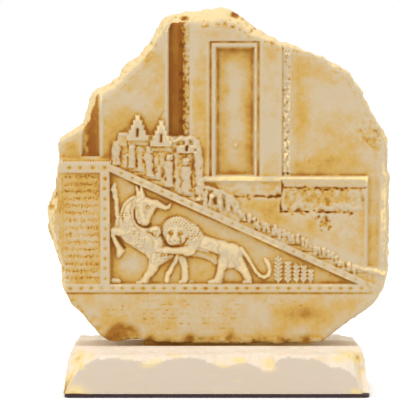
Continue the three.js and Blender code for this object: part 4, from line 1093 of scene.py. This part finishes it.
def smooth_shaded(mesh, angle):
    mesh.shade_smooth()
    mesh.set_sharp_from_angle(angle=math.radians(angle))


def edges_along(bm, axis, least):
    """Edges that reach more than a length along an axis."""
    return [e for e in bm.edges if abs(e.verts[0].co[axis] - e.verts[1].co[axis]) > least]


def bevel(bm, edges, offset, segments):
    bmesh.ops.bevel(bm, geom=edges, offset=offset, segments=segments, profile=0.5, affect="EDGES",
        material=-1)


def block(size, centre):
    """A box as a bmesh, from sizes in millimetres."""
    bm = bmesh.new()
    bmesh.ops.create_cube(bm, size=1)
    bmesh.ops.scale(bm, vec=Vector(size) * MM, verts=bm.verts)
    bmesh.ops.translate(bm, vec=Vector(centre) * MM, verts=bm.verts)
    return bm


def extrude(bm, way):
    """Extrudes all faces one way."""
    made = bmesh.ops.extrude_face_region(bm, geom=bm.faces[:])["geom"]
    bmesh.ops.translate(bm, vec=way, verts=[v for v in made if isinstance(v, bmesh.types.BMVert)])


def slab_blank(front, rings):
    """A sheet of squares cut to the front arris, and extruded to the back in rings, in millimetres."""
    rows, columns = front.x.shape
    width, height = (columns - 1) * front.step, (rows - 1) * front.step
    bm = bmesh.new()
    bmesh.ops.create_grid(bm, x_segments=columns - 1, y_segments=rows - 1, size=0.5)
    centre = Vector((front.left + width / 2, SLAB_BACK, front.low + height / 2))
    place = Matrix.Translation(centre) @ Matrix.Rotation(math.pi / 2, 4, "X")
    bmesh.ops.transform(bm, matrix=place @ Matrix.Diagonal((width, height, 1, 1)), verts=bm.verts)
    bm.verts.ensure_lookup_table()
    co = np.array([v.co for v in bm.verts])
    outside = front.sample(front.depth, co[:, 0], co[:, 2]) <= 0.12
    loose = [bm.verts[i] for i in np.flatnonzero(outside)]
    while loose:
        bmesh.ops.delete(bm, geom=loose, context="VERTS")
        loose = [v for v in bm.verts if not v.link_faces or sum(e.is_boundary for e in v.link_edges) > 2]
    rim = [v for v in bm.verts if v.is_boundary]
    co = np.array([v.co for v in rim])
    for _ in range(2):
        away = front.sample(front.depth, co[:, 0], co[:, 2])
        co[:, 0] += away * front.sample(front.out_x, co[:, 0], co[:, 2])
        co[:, 2] += away * front.sample(front.out_z, co[:, 0], co[:, 2])
    for vertex, place in zip(rim, co):
        vertex.co = place
    extrude(bm, (0, SLAB_FRONT - SLAB_BACK, 0))
    bmesh.ops.subdivide_edges(bm, edges=edges_along(bm, 1, 1), cuts=rings)
    bmesh.ops.recalc_face_normals(bm, faces=bm.faces)
    return new_piece("relief_slab_cast", bm)


# Pockets in the broken top: x, z, half width, half height and depth
HOLLOWS = [(10.2, 213.4, 2.6, 1.9, 3.0), (-18.2, 211.2, 2.4, 1.5, 2.6), (19.3, 203.6, 1.1, 1.1, 1.6),
    (6.4, 210.3, 1.0, 0.7, 1.0), (21.8, 205.4, 1.3, 0.9, 1.3), (-23.6, 211.6, 1.5, 1.0, 1.3),
    (14.4, 211, 1.2, 0.8, 1.0), (-5, 212.4, 1.8, 0.7, 0.8), (-37, 197, 1.4, 0.9, 0.9),
    (-52, 181.4, 1.6, 0.8, 0.9), (70, 183, 1.4, 0.8, 0.8), (-86, 146, 1.4, 1.0, 1.0),
    (-90, 112, 1.2, 1.6, 0.9), (-93, 96, 1.0, 1.8, 0.8), (91, 147, 1.2, 1.4, 1.0)]


def hollow(x, z):
    """Depth of the pockets at places on the broken edge."""
    x, z = x + 0.7 * rough(x, 0, z, 2.2, 2, 79), z + 0.6 * rough(x, 7, z, 2.2, 2, 79)
    return sum(depth * spot(x, z, *place) for *place, depth in HOLLOWS)


def shape_slab(mesh, front):
    """Moves the front to the carving, the sides to the break and the back to its uneven pour."""
    co = vectors(mesh.vertices, "co")
    x, y, z = co.T.copy()
    share = (y - SLAB_FRONT) / (SLAB_BACK - SLAB_FRONT)
    maps = (front.rise, front.out_x, front.out_z, front.inset, front.depth)
    rise, out_x, out_z, inset, depth = (front.sample(values, x, z) for values in maps)
    face_y = WALL_Y - rise
    at_back, at_front = share > 0.999, share < 0.001
    y = face_y + share * (SLAB_BACK - face_y)
    crag = 1.2 * rough(x, 1.3 * y, z, 13, 2, 81) + 0.34 * rough(x, y, z, 2.6, 2, 83)
    crag = crag - 0.8 * np.abs(rough(x, y, z, 7, 2, 87)) - 0.55 * np.abs(rough(x, y, z, 3.4, 2, 89)) + 0.2
    worn = smooth(share / 0.12) * (1 - 0.5 * smooth((share - 0.85) / 0.15))
    calm = 0.6 + 0.4 * ease(45, 70, z)
    swell = np.interp(share, [0, 0.08, 0.33, 0.62, 0.9, 1], [0, 0.2, 0.75, 1, 0.95, 0.65])
    move = inset * swell + (0.9 + crag * calm) * worn
    move = np.where(at_back, smooth(1 - depth / 16) * (inset * 0.65 + 0.3), move)
    move = np.where(at_front, 0, move)
    foot = ease(SLAB_FOOT_Z + 3, SLAB_FOOT_Z, z) * ~(at_back | at_front)
    move = move * (1 - 0.75 * foot)
    pour = 0.35 * rough(x, 0, z, 16, 3, 91) + 0.12 * rough(x, 0, z, 3, 2, 93)
    co[:, 0] = x + out_x * move
    co[:, 1] = np.where(at_back, SLAB_BACK - 0.5 + pour - 1.2 * fade(depth, 1.4), y)
    co[:, 2] = np.maximum(z + out_z * move, SLAB_FOOT_Z - 1.1)
    pocket = hollow(co[:, 0], co[:, 2]) * ease(6, 2, co[:, 1])
    co += np.stack([-0.5 * out_x, 0.8 * np.ones_like(x), -0.5 * out_z], 1) * pocket[:, None]
    set_points(mesh, co)


def thin_slab(piece, triangles):
    """Thins the back first and the carved front less, down to a number of triangles."""
    on_back = points_of(piece.data)[:, 1] > SLAB_BACK - 3
    group = piece.vertex_groups.new(name="thin")
    for places, weight in ((on_back, 1.0), (~on_back, 0.55)):
        group.add(np.flatnonzero(places).tolist(), weight, "REPLACE")
    modify(piece, "DECIMATE", ratio=min(triangles / (2 * len(piece.data.polygons)), 1), vertex_group="thin",
        vertex_group_factor=0.3)
    piece.vertex_groups.clear()


def add_tongue(piece):
    """Joins the tongue that sits in the plinth's groove."""
    (left, right), (near, far) = TONGUE_X, TONGUE_Y
    size = (right - left, far - near, SLAB_FOOT_Z + 6 - SLAB_LOW.z)
    bm = block(size, ((right + left) / 2, (far + near) / 2, SLAB_LOW.z + size[2] / 2))
    bevel(bm, bm.edges[:], 0.5 * MM, 2)
    bmesh.ops.subdivide_edges(bm, edges=edges_along(bm, 2, 5 * MM), cuts=11)
    tongue = new_piece("tongue", bm)
    modify(piece, "BOOLEAN", operation="UNION", solver="MANIFOLD", object=tongue)
    piece.data.materials.clear()
    bpy.data.meshes.remove(tongue.data)


def stain_and_shade_slab(mesh, front):
    """The stain on each vertex of the finished slab, with painted shade in the gap under its foot."""
    x, y, z = points_of(mesh).T
    carved = front.sample(front.stain_and_shade, x, z)
    beyond = smooth((y - (WALL_Y - front.sample(front.rise, x, z)) - 0.5) / 1.6)
    pits = rough(x, y, z, 2.4, 2, 103)
    speck, grit = smooth((pits - 0.1) / 0.5), smooth((rough(x, y, z, 1.1, 2, 105) - 0.25) / 0.4)
    broken = -0.08 + 0.2 * rough(x, y, z, 9, 3, 101) + 0.4 * speck + 0.2 * grit
    broken += 0.4 * ease(60, 34, z) + 0.55 * hollow(x, z)
    crumbs = 0.16 + 0.3 * smooth(0.4 + 1.4 * rough(x, y, z, 5, 2, 109))
    broken += ease(-76, -88, x) * ease(150, 120, z) * crumbs
    back = 0.18 + 0.12 * rough(x, 0, z, 22, 4, 107) + 0.04 * pits
    plain = smooth((y - SLAB_BACK + 3.5) / 2)
    # Painted shade in the gap under the slab's foot, on the tongue: darkest in the middle and paler towards
    # the ends.
    under = 0.9 * ease(-54, -44, x) * ease(50, 40, x) - 0.4
    under = under * ease(30.6, 29.8, z) * ease(-10.8, -9.6, y)
    outer = broken + (back - broken) * plain + under
    set_map(mesh, "stain_and_shade", carved + (outer - carved) * beyond)
    set_map(mesh, "broken", beyond * (1 - plain))


# The plinth: its top, how far the banks of its groove rise over it, how far its smooth face leans back,
# and x and height of the chipped upper edge of that face
PLINTH_TOP = 27
FRONT_BANK = 0.2
BACK_BANK = 1.9
FRONT_BATTER = 0.1
FACE_TOP = [(-86, 0), (-84, 5), (-82, 10), (-80, 13.6), (-78.4, 16.8), (-75, 19), (-71, 21), (-64, 21.8),
    (-56, 22), (-49, 21.4), (-43, 19.5), (-38, 18.2), (-32, 19.4), (-24, 21), (-18, 21.6), (-10, 21),
    (-4, 18.7), (0, 16.9), (6, 17.3), (14, 18.9), (19, 18.8), (22, 17.6), (26.5, 14.6), (31, 14.6),
    (33.4, 18.8), (37, 21.9), (42, 22.3), (47, 21.3), (54, 21.4), (58, 21.4), (62, 19.2), (65, 17.4),
    (71, 16.4), (76, 13.8), (79, 10), (80.5, 4), (82, -4)]
# Patches of stain on its front: x, z, half width, half height and amount
PLINTH_PATCHES = [(-76, 20, 3.5, 4, 0.6), (-80, 3, 7, 4, 0.36), (29, 19, 4, 4.6, 0.46),
    (-39, 18.6, 5, 2, 0.3), (1, 19, 4, 2.4, 0.34), (10, 21.4, 5, 1.6, 0.3), (-15, 24, 4, 1.2, 0.22),
    (-26, 23, 3, 2, 0.2), (50, 22.6, 4, 1.4, 0.2), (70, 22, 10, 3.6, 0.44), (78, 19, 4, 6, 0.4),
    (81, 12, 2, 8, 0.2), (78, 3, 5, 3, 0.34), (-42, 12, 1, 1, 0.2), (65, 10.5, 1.8, 1.2, 0.2)]


def battered_face(z):
    return PLINTH_LOW.y + FRONT_BATTER * (z - PLINTH_LOW.z)


def plinth_block(lip, floor, voxel):
    """The grooved bar as an extruded section, remeshed into small squares."""
    top, bank, half, bottom = PLINTH_TOP, PLINTH_TOP + BACK_BANK, PLINTH_HIGH.x, PLINTH_LOW.z
    front, back = PLINTH_LOW.y - 1.5, PLINTH_HIGH.y
    section = [(front, bottom), (back - 0.3, bottom), (back - 0.6, 9), (25.8, 17), (23, bank - 0.8),
        (20.8, bank), (lip + 7, bank - 0.4), (lip, top - 0.8), (lip, floor), (-lip, floor),
        (-lip, top + FRONT_BANK), (-17.5, top), (-22, top - 1.4), (front, top - 3)]
    bm = bmesh.new()
    bm.faces.new([bm.verts.new(Vector((-half, y, z)) * MM) for y, z in section])
    extrude(bm, (2 * half * MM, 0, 0))
    bmesh.ops.recalc_face_normals(bm, faces=bm.faces)
    piece = new_piece("plinth_cast", bm)
    modify(piece, "REMESH", mode="VOXEL", voxel_size=voxel)
    return piece


def shape_plinth(mesh, lip, floor):
    """Roughens the top and ends, and slopes the front back above its chipped edge."""
    co, normal = points_of(mesh), vectors(mesh.vertex_normals, "vector")
    x, y, z = co.T.copy()
    bottom = PLINTH_LOW.z
    ragged = along(FACE_TOP, x) - 0.6 + 0.7 * rough(x, 0, 0, 5, 3, 111) + 0.6 * rough(x, y, z, 3.6, 2, 113)
    face_y = battered_face(z)
    slope = 0.62 + 0.18 * rough(x, 0, z, 14, 2, 115)
    wanted = np.minimum(np.maximum(face_y, face_y - 0.4 + slope * (z - ragged)), -lip - 5)
    share = clamped((-lip - y) / (-lip - PLINTH_LOW.y + 1.5))
    in_front = y < -lip
    y = np.where(in_front, -lip - share * (-lip - wanted), y)
    in_groove = (np.abs(y) < lip + 0.8) & (z > floor - 0.8)
    near_groove = fade(np.abs(y) - lip, 2.5) * (z > floor - 1)
    calm = np.where(in_groove, 0.06, 1 - 0.75 * near_groove) * ease(bottom, bottom + 3, z)
    calm = calm * np.where(in_front, 0.3 + 0.7 * ease(0, 5, z - ragged), 1)
    calm = calm * np.where(in_front & (share > 0.97), ease(0, 3, z - ragged), 1)
    worn_back = 1.6 * ease(72, 81, x) + 4 * ease(83.5, 86, x) + 0.5 * ease(-66, -78, x)
    worn_back = worn_back + 4 * ease(-83.5, -86, x) + 0.3 * rough(x, 0, 0, 9, 2, 125)
    z = z - worn_back * ease(12, 28, z) * ease(lip - 0.6, lip + 1.6, y)
    ends = ease(PLINTH_HIGH.x - 4, PLINTH_HIGH.x - 0.5, np.abs(x))
    crag = 0.9 * rough(x, y, z, 9, 4, 117) + 0.3 * rough(x, y, z, 2.4, 2, 119)
    crag = crag - 0.5 * np.abs(rough(x, y, z, 5, 2, 121)) - 0.2
    on_top = z > PLINTH_TOP - 2.5
    lip_wave = 0.35 * rough(x, 0, 0, 11, 3, 123) * on_top * (y < 0) * ease(-lip - 2, -lip - 5, y)
    co = np.stack([x, y, z + lip_wave - 0.35 * on_top], 1) + normal * (crag * calm)[:, None]
    co[:, 0] *= 1 - 0.0016 * (z - bottom) - 0.012 * ends * ease(18, 27, z)
    co[:, 2] = np.maximum(co[:, 2], bottom)
    co[:, 1] = np.maximum(co[:, 1], battered_face(co[:, 2]))
    set_points(mesh, co)


def stain_and_shade_plinth(mesh):
    """The stain on each vertex of the plinth, with painted shade in the groove and on faces that look down.
    """
    x, y, z = points_of(mesh).T
    left, right = TONGUE_X
    on_face = smooth((battered_face(z) + 0.25 - y) / 0.2)
    small = rough(x, y, z, 4, 3, 133)
    stain_and_shade = 0.06 + 0.09 * rough(x, y, z, 20, 4, 131) + 0.06 * small
    stain_and_shade += on_face * (0.02 + 0.13 * rough(x, 0, 14 * z, 26, 2, 135)) + 0.10 * ease(7, 2, z)
    # Painted shade inside the groove under the slab, darker towards the left.
    in_groove = ease(left - 6, left, x) * ease(right + 6, right, x) * ease(12.8, 12.2, np.abs(y))
    stain_and_shade += (0.15 + 0.5 * ease(24, -6, x)) * in_groove * ease(27.4, 25.6, z)
    rim = bell((z - along(FACE_TOP, x) - 1.2) / 2.2) * (y < -12)
    stain_and_shade += 0.3 * smooth(0.3 + 1.6 * rough(x, 0, z, 7, 2, 137)) * rim
    ends = ease(62, 84, np.abs(x)) * (1 - 0.75 * on_face) * (y < 8)
    stain_and_shade += ends * (0.04 + 0.16 * small + (0.14 + 0.42 * ease(16, 6, z)) * ease(40, -60, x))
    for *place, amount in PLINTH_PATCHES:
        stain_and_shade += amount * spot(x, z, *place) * (y < -10) * (0.85 + 0.4 * small)
    # Painted shade on faces that look down.
    stain_and_shade += 0.09 * smooth((-vectors(mesh.vertex_normals, "vector")[:, 2] - 0.2) / 0.6)
    set_map(mesh, "stain_and_shade", stain_and_shade)
    set_map(mesh, "broken", 1 - on_face)


# Node groups and materials


COLOURS = ("Pale", "Cream", "Ochre", "Brown", "Dark")


class Tree:
    """Short ways to add nodes to a node tree."""

    def __init__(self, tree):
        self.nodes, self.links = tree.nodes, tree.links

    def feed(self, target, value):
        """Links a socket to a socket, or sets a value on it."""
        if isinstance(value, bpy.types.NodeSocket):
            self.links.new(value, target)
        else:
            target.default_value = value

    def node(self, kind, **values):
        made = self.nodes.new(kind)
        for name, value in values.items():
            self.feed(made.inputs[name], value)
        return made

    def place(self):
        return self.node("ShaderNodeTexCoord").outputs["Object"]

    def maths(self, operation, *values):
        made = self.node("ShaderNodeMath")
        made.operation = operation
        for target, value in zip(made.inputs, values):
            self.feed(target, value)
        return made.outputs[0]

    def span(self, value, low, high):
        """A smooth 0 to 1 as a value runs from low to high."""
        made = self.node("ShaderNodeMapRange", Value=value, **{"From Min": low, "From Max": high})
        made.interpolation_type = "SMOOTHSTEP"
        return made.outputs["Result"]

    def mixed(self, share, first, second):
        made = self.node("ShaderNodeMix")
        made.data_type = "RGBA"
        sockets = {s.identifier: s for s in (*made.inputs, *made.outputs)}
        for name, value in (("Factor_Float", share), ("A_Color", first), ("B_Color", second)):
            self.feed(sockets[name], value)
        return sockets["Result_Color"]

    def noise(self, place, scale, detail, share=0.55, warp=0.0):
        made = self.node("ShaderNodeTexNoise", Vector=place, Scale=scale, Detail=detail, Roughness=share,
            Distortion=warp)
        return made.outputs["Fac"]

    def bump(self, shader, height, distance):
        made = self.node("ShaderNodeBump", Height=height, Distance=distance, Strength=1.0)
        self.links.new(made.outputs["Normal"], shader.inputs["Normal"])


def new_group(name, inputs, outputs):
    """A node group with these sockets: the group, its tree, its given sockets and its results."""
    group = bpy.data.node_groups.new(name, "ShaderNodeTree")
    for way, sockets in (("INPUT", inputs), ("OUTPUT", outputs)):
        for title, value in sockets.items():
            kind = "NodeSocketColor" if isinstance(value, tuple) else "NodeSocketFloat"
            group.interface.new_socket(name=title, in_out=way, socket_type=kind).default_value = value
    tree = Tree(group)
    return group, tree, tree.node("NodeGroupInput").outputs, tree.node("NodeGroupOutput").inputs


def patina_group():
    """Colour of tinted plaster from pale worn faces to brown hollows; the same ramp turns painted
    highlights cream and painted shade brown.
    """
    if "Patina and painted light" in bpy.data.node_groups:
        return bpy.data.node_groups["Patina and painted light"]
    shades = dict.fromkeys(COLOURS, (0.8, 0.7, 0.5, 1))
    group, t, given, result = new_group("Patina and painted light", {"Stain and shade": 0.3, "Mottle": 0.1, "Fresh": 0.0, **shades},
        {"Color": (0, 0, 0, 1), "Roughness": 0.0})
    place = t.place()
    clouds = t.maths("MULTIPLY", t.maths("SUBTRACT", t.noise(place, 150, 5, 0.6, 0.6), 0.5), 1.6)
    specks = t.maths("MULTIPLY", t.maths("SUBTRACT", t.noise(place, 900, 3, 0.6), 0.5), 0.9)
    amount = t.maths("MULTIPLY_ADD", t.maths("ADD", clouds, specks), given["Mottle"], given["Stain and shade"])
    # Below zero the stain turns cream: worn edges and broken faces, and the painted highlights as well.
    worn = t.span(t.maths("MULTIPLY", amount, -2.2), 0.1, 1.3)
    shade = t.mixed(t.maths("MAXIMUM", worn, given["Fresh"]), given["Pale"], given["Cream"])
    for name, low, high in (("Ochre", 0.14, 0.62), ("Brown", 0.52, 0.92), ("Dark", 0.85, 1.25)):
        shade = t.mixed(t.span(amount, low, high), shade, given[name])
    t.feed(result["Color"], shade)
    t.feed(result["Roughness"], t.maths("MULTIPLY_ADD", t.span(amount, 0.1, 0.8), 0.16, 0.66))
    return group


def cast_grain_group():
    """Height of the fine grain and pinholes of cast plaster, 0 to 1."""
    if "Cast grain" in bpy.data.node_groups:
        return bpy.data.node_groups["Cast grain"]
    group, t, given, result = new_group("Cast grain", {"Grain": 0.5, "Pits": 0.5, "Coarse": 0.0},
        {"Height": 0.0})
    place = t.place()
    cells = t.node("ShaderNodeTexVoronoi", Vector=place, Scale=700).outputs["Distance"]
    pit = t.maths("SUBTRACT", 1.0, t.span(cells, 0.05, 0.22))
    sparse = t.span(t.noise(place, 260, 2), 0.55, 0.68)
    pit = t.maths("MULTIPLY", t.maths("MULTIPLY", pit, sparse), given["Pits"])
    height = t.maths("MULTIPLY", t.noise(place, 1400, 4, 0.6), given["Grain"])
    height = t.maths("MULTIPLY_ADD", t.noise(place, 420, 4, 0.6), given["Coarse"], height)
    t.feed(result["Height"], t.maths("SUBTRACT", height, pit))
    return group


def plain_material(name):
    """A new material, its tree and its shader."""
    material = bpy.data.materials.new(name)
    material.use_nodes = True
    return material, Tree(material.node_tree), material.node_tree.nodes["Principled BSDF"]


def opaque(colour):
    return (*colour, 1)


def cast_material(name, settings, dark, fresh, grain, coarse, bump):
    """Tinted cast plaster whose stain, painted shade and painted highlights come from the piece's own maps.
    """
    material, t, shader = plain_material(name)
    shares = {}
    for title in ("broken", "stain_and_shade"):
        reader = t.node("ShaderNodeAttribute")
        reader.attribute_name = title
        shares[title] = reader.outputs["Fac"]
    given = (settings.pale, settings.cream, settings.ochre, settings.brown, dark)
    patina_and_light, surface = t.node("ShaderNodeGroup"), t.node("ShaderNodeGroup")
    patina_and_light.node_tree, surface.node_tree = patina_group(), cast_grain_group()
    fresh, coarse = (t.maths("MULTIPLY", shares["broken"], most) for most in (fresh, coarse))
    values = {"Stain and shade": shares["stain_and_shade"], "Mottle": settings.mottle, "Fresh": fresh,
        **dict(zip(COLOURS, map(opaque, given)))}
    for title, value in values.items():
        t.feed(patina_and_light.inputs[title], value)
    for title, value in (("Grain", grain), ("Pits", 0.5), ("Coarse", coarse)):
        t.feed(surface.inputs[title], value)
    t.feed(shader.inputs["Base Color"], patina_and_light.outputs["Color"])
    t.feed(shader.inputs["Roughness"], patina_and_light.outputs["Roughness"])
    t.bump(shader, surface.outputs["Height"], bump)
    shader.inputs["Specular IOR Level"].default_value = 0.32
    return material


def felt_material(name, colour, light):
    """Short matted fibres."""
    material, t, shader = plain_material(name)
    place = t.place()
    fibres, tufts = t.noise(place, 2600, 4, 0.7, 2.5), t.noise(place, 500, 3, 0.6, 0.5)
    share = t.maths("MULTIPLY", t.span(fibres, 0.35, 0.75), t.span(tufts, 0.2, 0.8))
    t.feed(shader.inputs["Base Color"], t.mixed(share, opaque(colour), opaque(light)))
    t.bump(shader, fibres, 0.0002)
    for title, value in (("Roughness", 0.95), ("Specular IOR Level", 0.1), ("Sheen Weight", 0.25)):
        shader.inputs[title].default_value = value
    return material


# Settings


def number(name, description, default, **more):
    return FloatProperty(name=name, description=description, default=default, min=0, **more)


def length(name, description, default):
    return number(name, description, default, unit="LENGTH", precision=5)


def angle(name, description, degrees):
    return number(name, description, math.radians(degrees), subtype="ANGLE")


def count(name, description, default):
    return IntProperty(name=name, description=description, default=default, min=2)


def colour(name, description, *default):
    return FloatVectorProperty(name=name, description=description, default=default, subtype="COLOR", size=3,
        min=0, max=1)


class SlabSettings(bpy.types.PropertyGroup):
    """The cast slab."""
    step: length("Grid step", "Distance between the points of the carved front", 0.00042)
    rings: count("Side rings", "Rows of points down the broken sides", 17)
    triangles: count("Triangles", "Triangles kept after thinning", 186000)
    pale: colour("Pale", "Worn faces", 0.545, 0.432, 0.275)
    # Cream also colours the painted highlights on convex edges, the arris, the cornice and the climbers'
    # tops.
    cream: colour("Cream", "Worn edges and broken faces", 0.94, 0.70, 0.30)
    ochre: colour("Ochre", "Stain in shallow hollows", 0.55, 0.335, 0.075)
    # Brown and Dark also colour the painted shade in the gap under the slab's foot.
    brown: colour("Brown", "Stain in deep hollows", 0.38, 0.165, 0.018)
    dark: colour("Dark", "Stain in recesses", 0.31, 0.105, 0.010)
    mottle: number("Mottle", "Unevenness of the stain", 0.16, subtype="FACTOR")


class PlinthSettings(bpy.types.PropertyGroup):
    """The bar plinth."""
    voxel: length("Voxel", "Size of the squares of the rough surface", 0.00085)
    groove_width: length("Groove width", "Width of the groove along the top", 0.0246)
    groove_depth: length("Groove depth", "Depth of the groove along the top", 0.005)
    pale: colour("Pale", "The smooth face", 0.60, 0.50, 0.395)
    cream: colour("Cream", "The rough top", 0.765, 0.655, 0.52)
    ochre: colour("Ochre", "Stain and shade", 0.80, 0.62, 0.29)
    # Brown also colours the painted shade in the groove.
    brown: colour("Brown", "Deeper stain", 0.45, 0.25, 0.06)
    mottle: number("Mottle", "Unevenness of the stain", 0.12, subtype="FACTOR")


class FeltSettings(bpy.types.PropertyGroup):
    """The felt pad."""
    corner: length("Corner radius", "Rounding of the pad's corners", 0.003)
    base: colour("Colour", "The felt", 0.042, 0.022, 0.026)
    light: colour("Fibre tips", "Lighter fibres", 0.075, 0.055, 0.060)


class StageSettings(bpy.types.PropertyGroup):
    """Floor, lights and camera."""
    distance: length("Camera distance", "From the camera to the slab's front", 1.0)
    pitch: angle("Pitch", "Camera pitch below level", 5)
    aim: length("Aim height", "Height that the camera looks at", 0.1096)
    aside: length("Aside", "How far left of the middle the camera stands", 0.0095)
    view: number("View", "Picture width as a share of the distance", 400 / 1786)
    key: number("Key light", "Strength of the light from the upper left", 1.36)
    key_height: angle("Key height", "Height of the key light over level", 58)
    key_turn: angle("Key turn", "How far round to the left of the camera the key light stands", 20)
    back: number("Back light", "Strength of the light from above and behind", 1.2)
    back_height: angle("Back height", "Height of the back light over level", 62)
    side: number("Side lights", "Strength of the light from each side", 0.5)
    side_height: angle("Side height", "Height of the side lights over level", 38)
    side_turn: angle("Side turn", "How far round from the camera the side lights stand", 55)
    width: angle("Light width", "Width of each light in the sky", 70)
    sky: number("Sky", "Strength of the even light", 0.5)
    floor: colour("Floor", "The pale floor", 0.92, 0.92, 0.92)


class RELIEF_OT_slab(bpy.types.Operator):
    """Makes the carved slab with its broken edge."""
    bl_idname = "relief.slab"
    bl_label = "Make slab"

    def execute(self, context):
        settings = context.scene.relief_slab
        front = carve_front(settings.step / MM)
        piece = slab_blank(front, settings.rings)
        shape_slab(piece.data, front)
        thin_slab(piece, settings.triangles)
        add_tongue(piece)
        stain_and_shade_slab(piece.data, front)
        smooth_shaded(piece.data, 75)
        piece.data.materials.append(cast_material("Tinted cast plaster", settings, settings.dark, fresh=0.5,
            grain=0.35, coarse=1.0, bump=0.00022))
        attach(piece, "root")
        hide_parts("relief_slab")
        return {"FINISHED"}


class RELIEF_OT_plinth(bpy.types.Operator):
    """Makes the rough bar plinth with its smooth face and groove."""
    bl_idname = "relief.plinth"
    bl_label = "Make plinth"

    def execute(self, context):
        settings = context.scene.relief_plinth
        lip = settings.groove_width / MM / 2
        floor = PLINTH_TOP - settings.groove_depth / MM
        piece = plinth_block(lip, floor, settings.voxel)
        shape_plinth(piece.data, lip, floor)
        stain_and_shade_plinth(piece.data)
        smooth_shaded(piece.data, 40)
        piece.data.materials.append(cast_material("Pale cast plaster", settings, settings.brown, fresh=1.0,
            grain=0.4, coarse=1.2, bump=0.00025))
        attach(piece, "root")
        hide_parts("plinth")
        return {"FINISHED"}


class RELIEF_OT_felt(bpy.types.Operator):
    """Makes the felt pad under the plinth."""
    bl_idname = "relief.felt"
    bl_label = "Make felt pad"

    def execute(self, context):
        settings = context.scene.relief_felt
        size = FELT_HIGH - FELT_LOW
        bm = block(size, (FELT_HIGH + FELT_LOW) / 2)
        bevel(bm, edges_along(bm, 2, 0.5 * size.z * MM), settings.corner, 6)
        bevel(bm, [e for e in bm.edges if abs(e.calc_face_angle(0)) > 1.2], 0.35 * MM, 2)
        bmesh.ops.triangulate(bm, faces=bm.faces[:])
        long_edges = [e for e in bm.edges if e.calc_length() > 4 * MM]
        bmesh.ops.subdivide_edges(bm, edges=long_edges, cuts=30, use_grid_fill=True)
        piece = new_piece("felt_pad_cut", bm)
        smooth_shaded(piece.data, 50)
        piece.data.materials.append(felt_material("Dark felt", settings.base, settings.light))
        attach(piece, "root")
        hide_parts("felt_pad")
        return {"FINISHED"}


def add_sky(scene, strength):
    """Even light from all round that the camera sees as plain white."""
    world = scene.world = bpy.data.worlds.new("Sky")
    world.use_nodes = True
    t = Tree(world.node_tree)
    seen = t.node("ShaderNodeLightPath").outputs["Is Camera Ray"]
    shown = t.node("ShaderNodeMapRange", Value=seen, **{"To Min": strength}).outputs["Result"]
    background = world.node_tree.nodes["Background"]
    t.feed(background.inputs["Color"], (1, 1, 1, 1))
    t.feed(background.inputs["Strength"], shown)


class RELIEF_OT_stage(bpy.types.Operator):
    """Makes the floor, the lights and the camera."""
    bl_idname = "relief.stage"
    bl_label = "Make stage"

    def execute(self, context):
        settings, scene = context.scene.relief_stage, context.scene
        bm = bmesh.new()
        bmesh.ops.create_grid(bm, x_segments=2, y_segments=2, size=FLOOR_SIZE)
        floor = new_piece("floor", bm)
        material, _, shader = plain_material("Floor")
        shader.inputs["Base Color"].default_value = opaque(settings.floor)
        shader.inputs["Roughness"].default_value = 0.9
        floor.data.materials.append(material)
        add_sky(scene, settings.sky)
        level = math.pi / 2
        for name, energy, tilt, turn in (
                ("key", settings.key, level - settings.key_height, -settings.key_turn),
                ("back", settings.back, settings.back_height - level, 0),
                ("left", settings.side, level - settings.side_height, -settings.side_turn),
                ("right", settings.side, level - settings.side_height, settings.side_turn)):
            light = bpy.data.lights.new(name, "SUN")
            light.energy, light.angle = energy, settings.width
            new_object(name, light).rotation_euler = (tilt, 0, turn)
        data = bpy.data.cameras.new("camera")
        data.sensor_width = SENSOR_WIDTH
        data.lens = SENSOR_WIDTH / settings.view
        data.clip_end = CAMERA_REACH
        scene.camera = new_object("camera", data)
        height = settings.aim + settings.distance * math.tan(settings.pitch)
        scene.camera.location = (-settings.aside, SLAB_FRONT * MM - settings.distance, height)
        scene.camera.rotation_euler = (level - settings.pitch, 0, 0)
        scene.view_settings.view_transform = "Standard"
        return {"FINISHED"}


class RELIEF_PT_panel(bpy.types.Panel):
    """Lists the steps and their settings."""
    bl_label = "Relief"
    bl_idname = "RELIEF_PT_panel"
    bl_space_type = "VIEW_3D"
    bl_region_type = "UI"
    bl_category = "Relief"

    def draw(self, context):
        for name, (group, operator) in STEPS.items():
            column = self.layout.column()
            for title in group.__annotations__:
                column.prop(getattr(context.scene, name), title)
            column.operator(operator.bl_idname)


STEPS = {
    "relief_slab": (SlabSettings, RELIEF_OT_slab),
    "relief_plinth": (PlinthSettings, RELIEF_OT_plinth),
    "relief_felt": (FeltSettings, RELIEF_OT_felt),
    "relief_stage": (StageSettings, RELIEF_OT_stage),
}
CLASSES = [entry for step in STEPS.values() for entry in step] + [RELIEF_PT_panel]


def register():
    """Adds the settings, the steps and the panel."""
    for entry in CLASSES:
        bpy.utils.register_class(entry)
    for name, (group, _) in STEPS.items():
        setattr(bpy.types.Scene, name, PointerProperty(type=group))


def unregister():
    """Takes them out again."""
    for name in STEPS:
        delattr(bpy.types.Scene, name)
    for entry in reversed(CLASSES):
        bpy.utils.unregister_class(entry)


def main():
    """Makes everything."""
    register()
    bpy.ops.relief.stage()
    bpy.ops.relief.slab()
    bpy.ops.relief.plinth()
    bpy.ops.relief.felt()


if __name__ == "__main__":
    main()
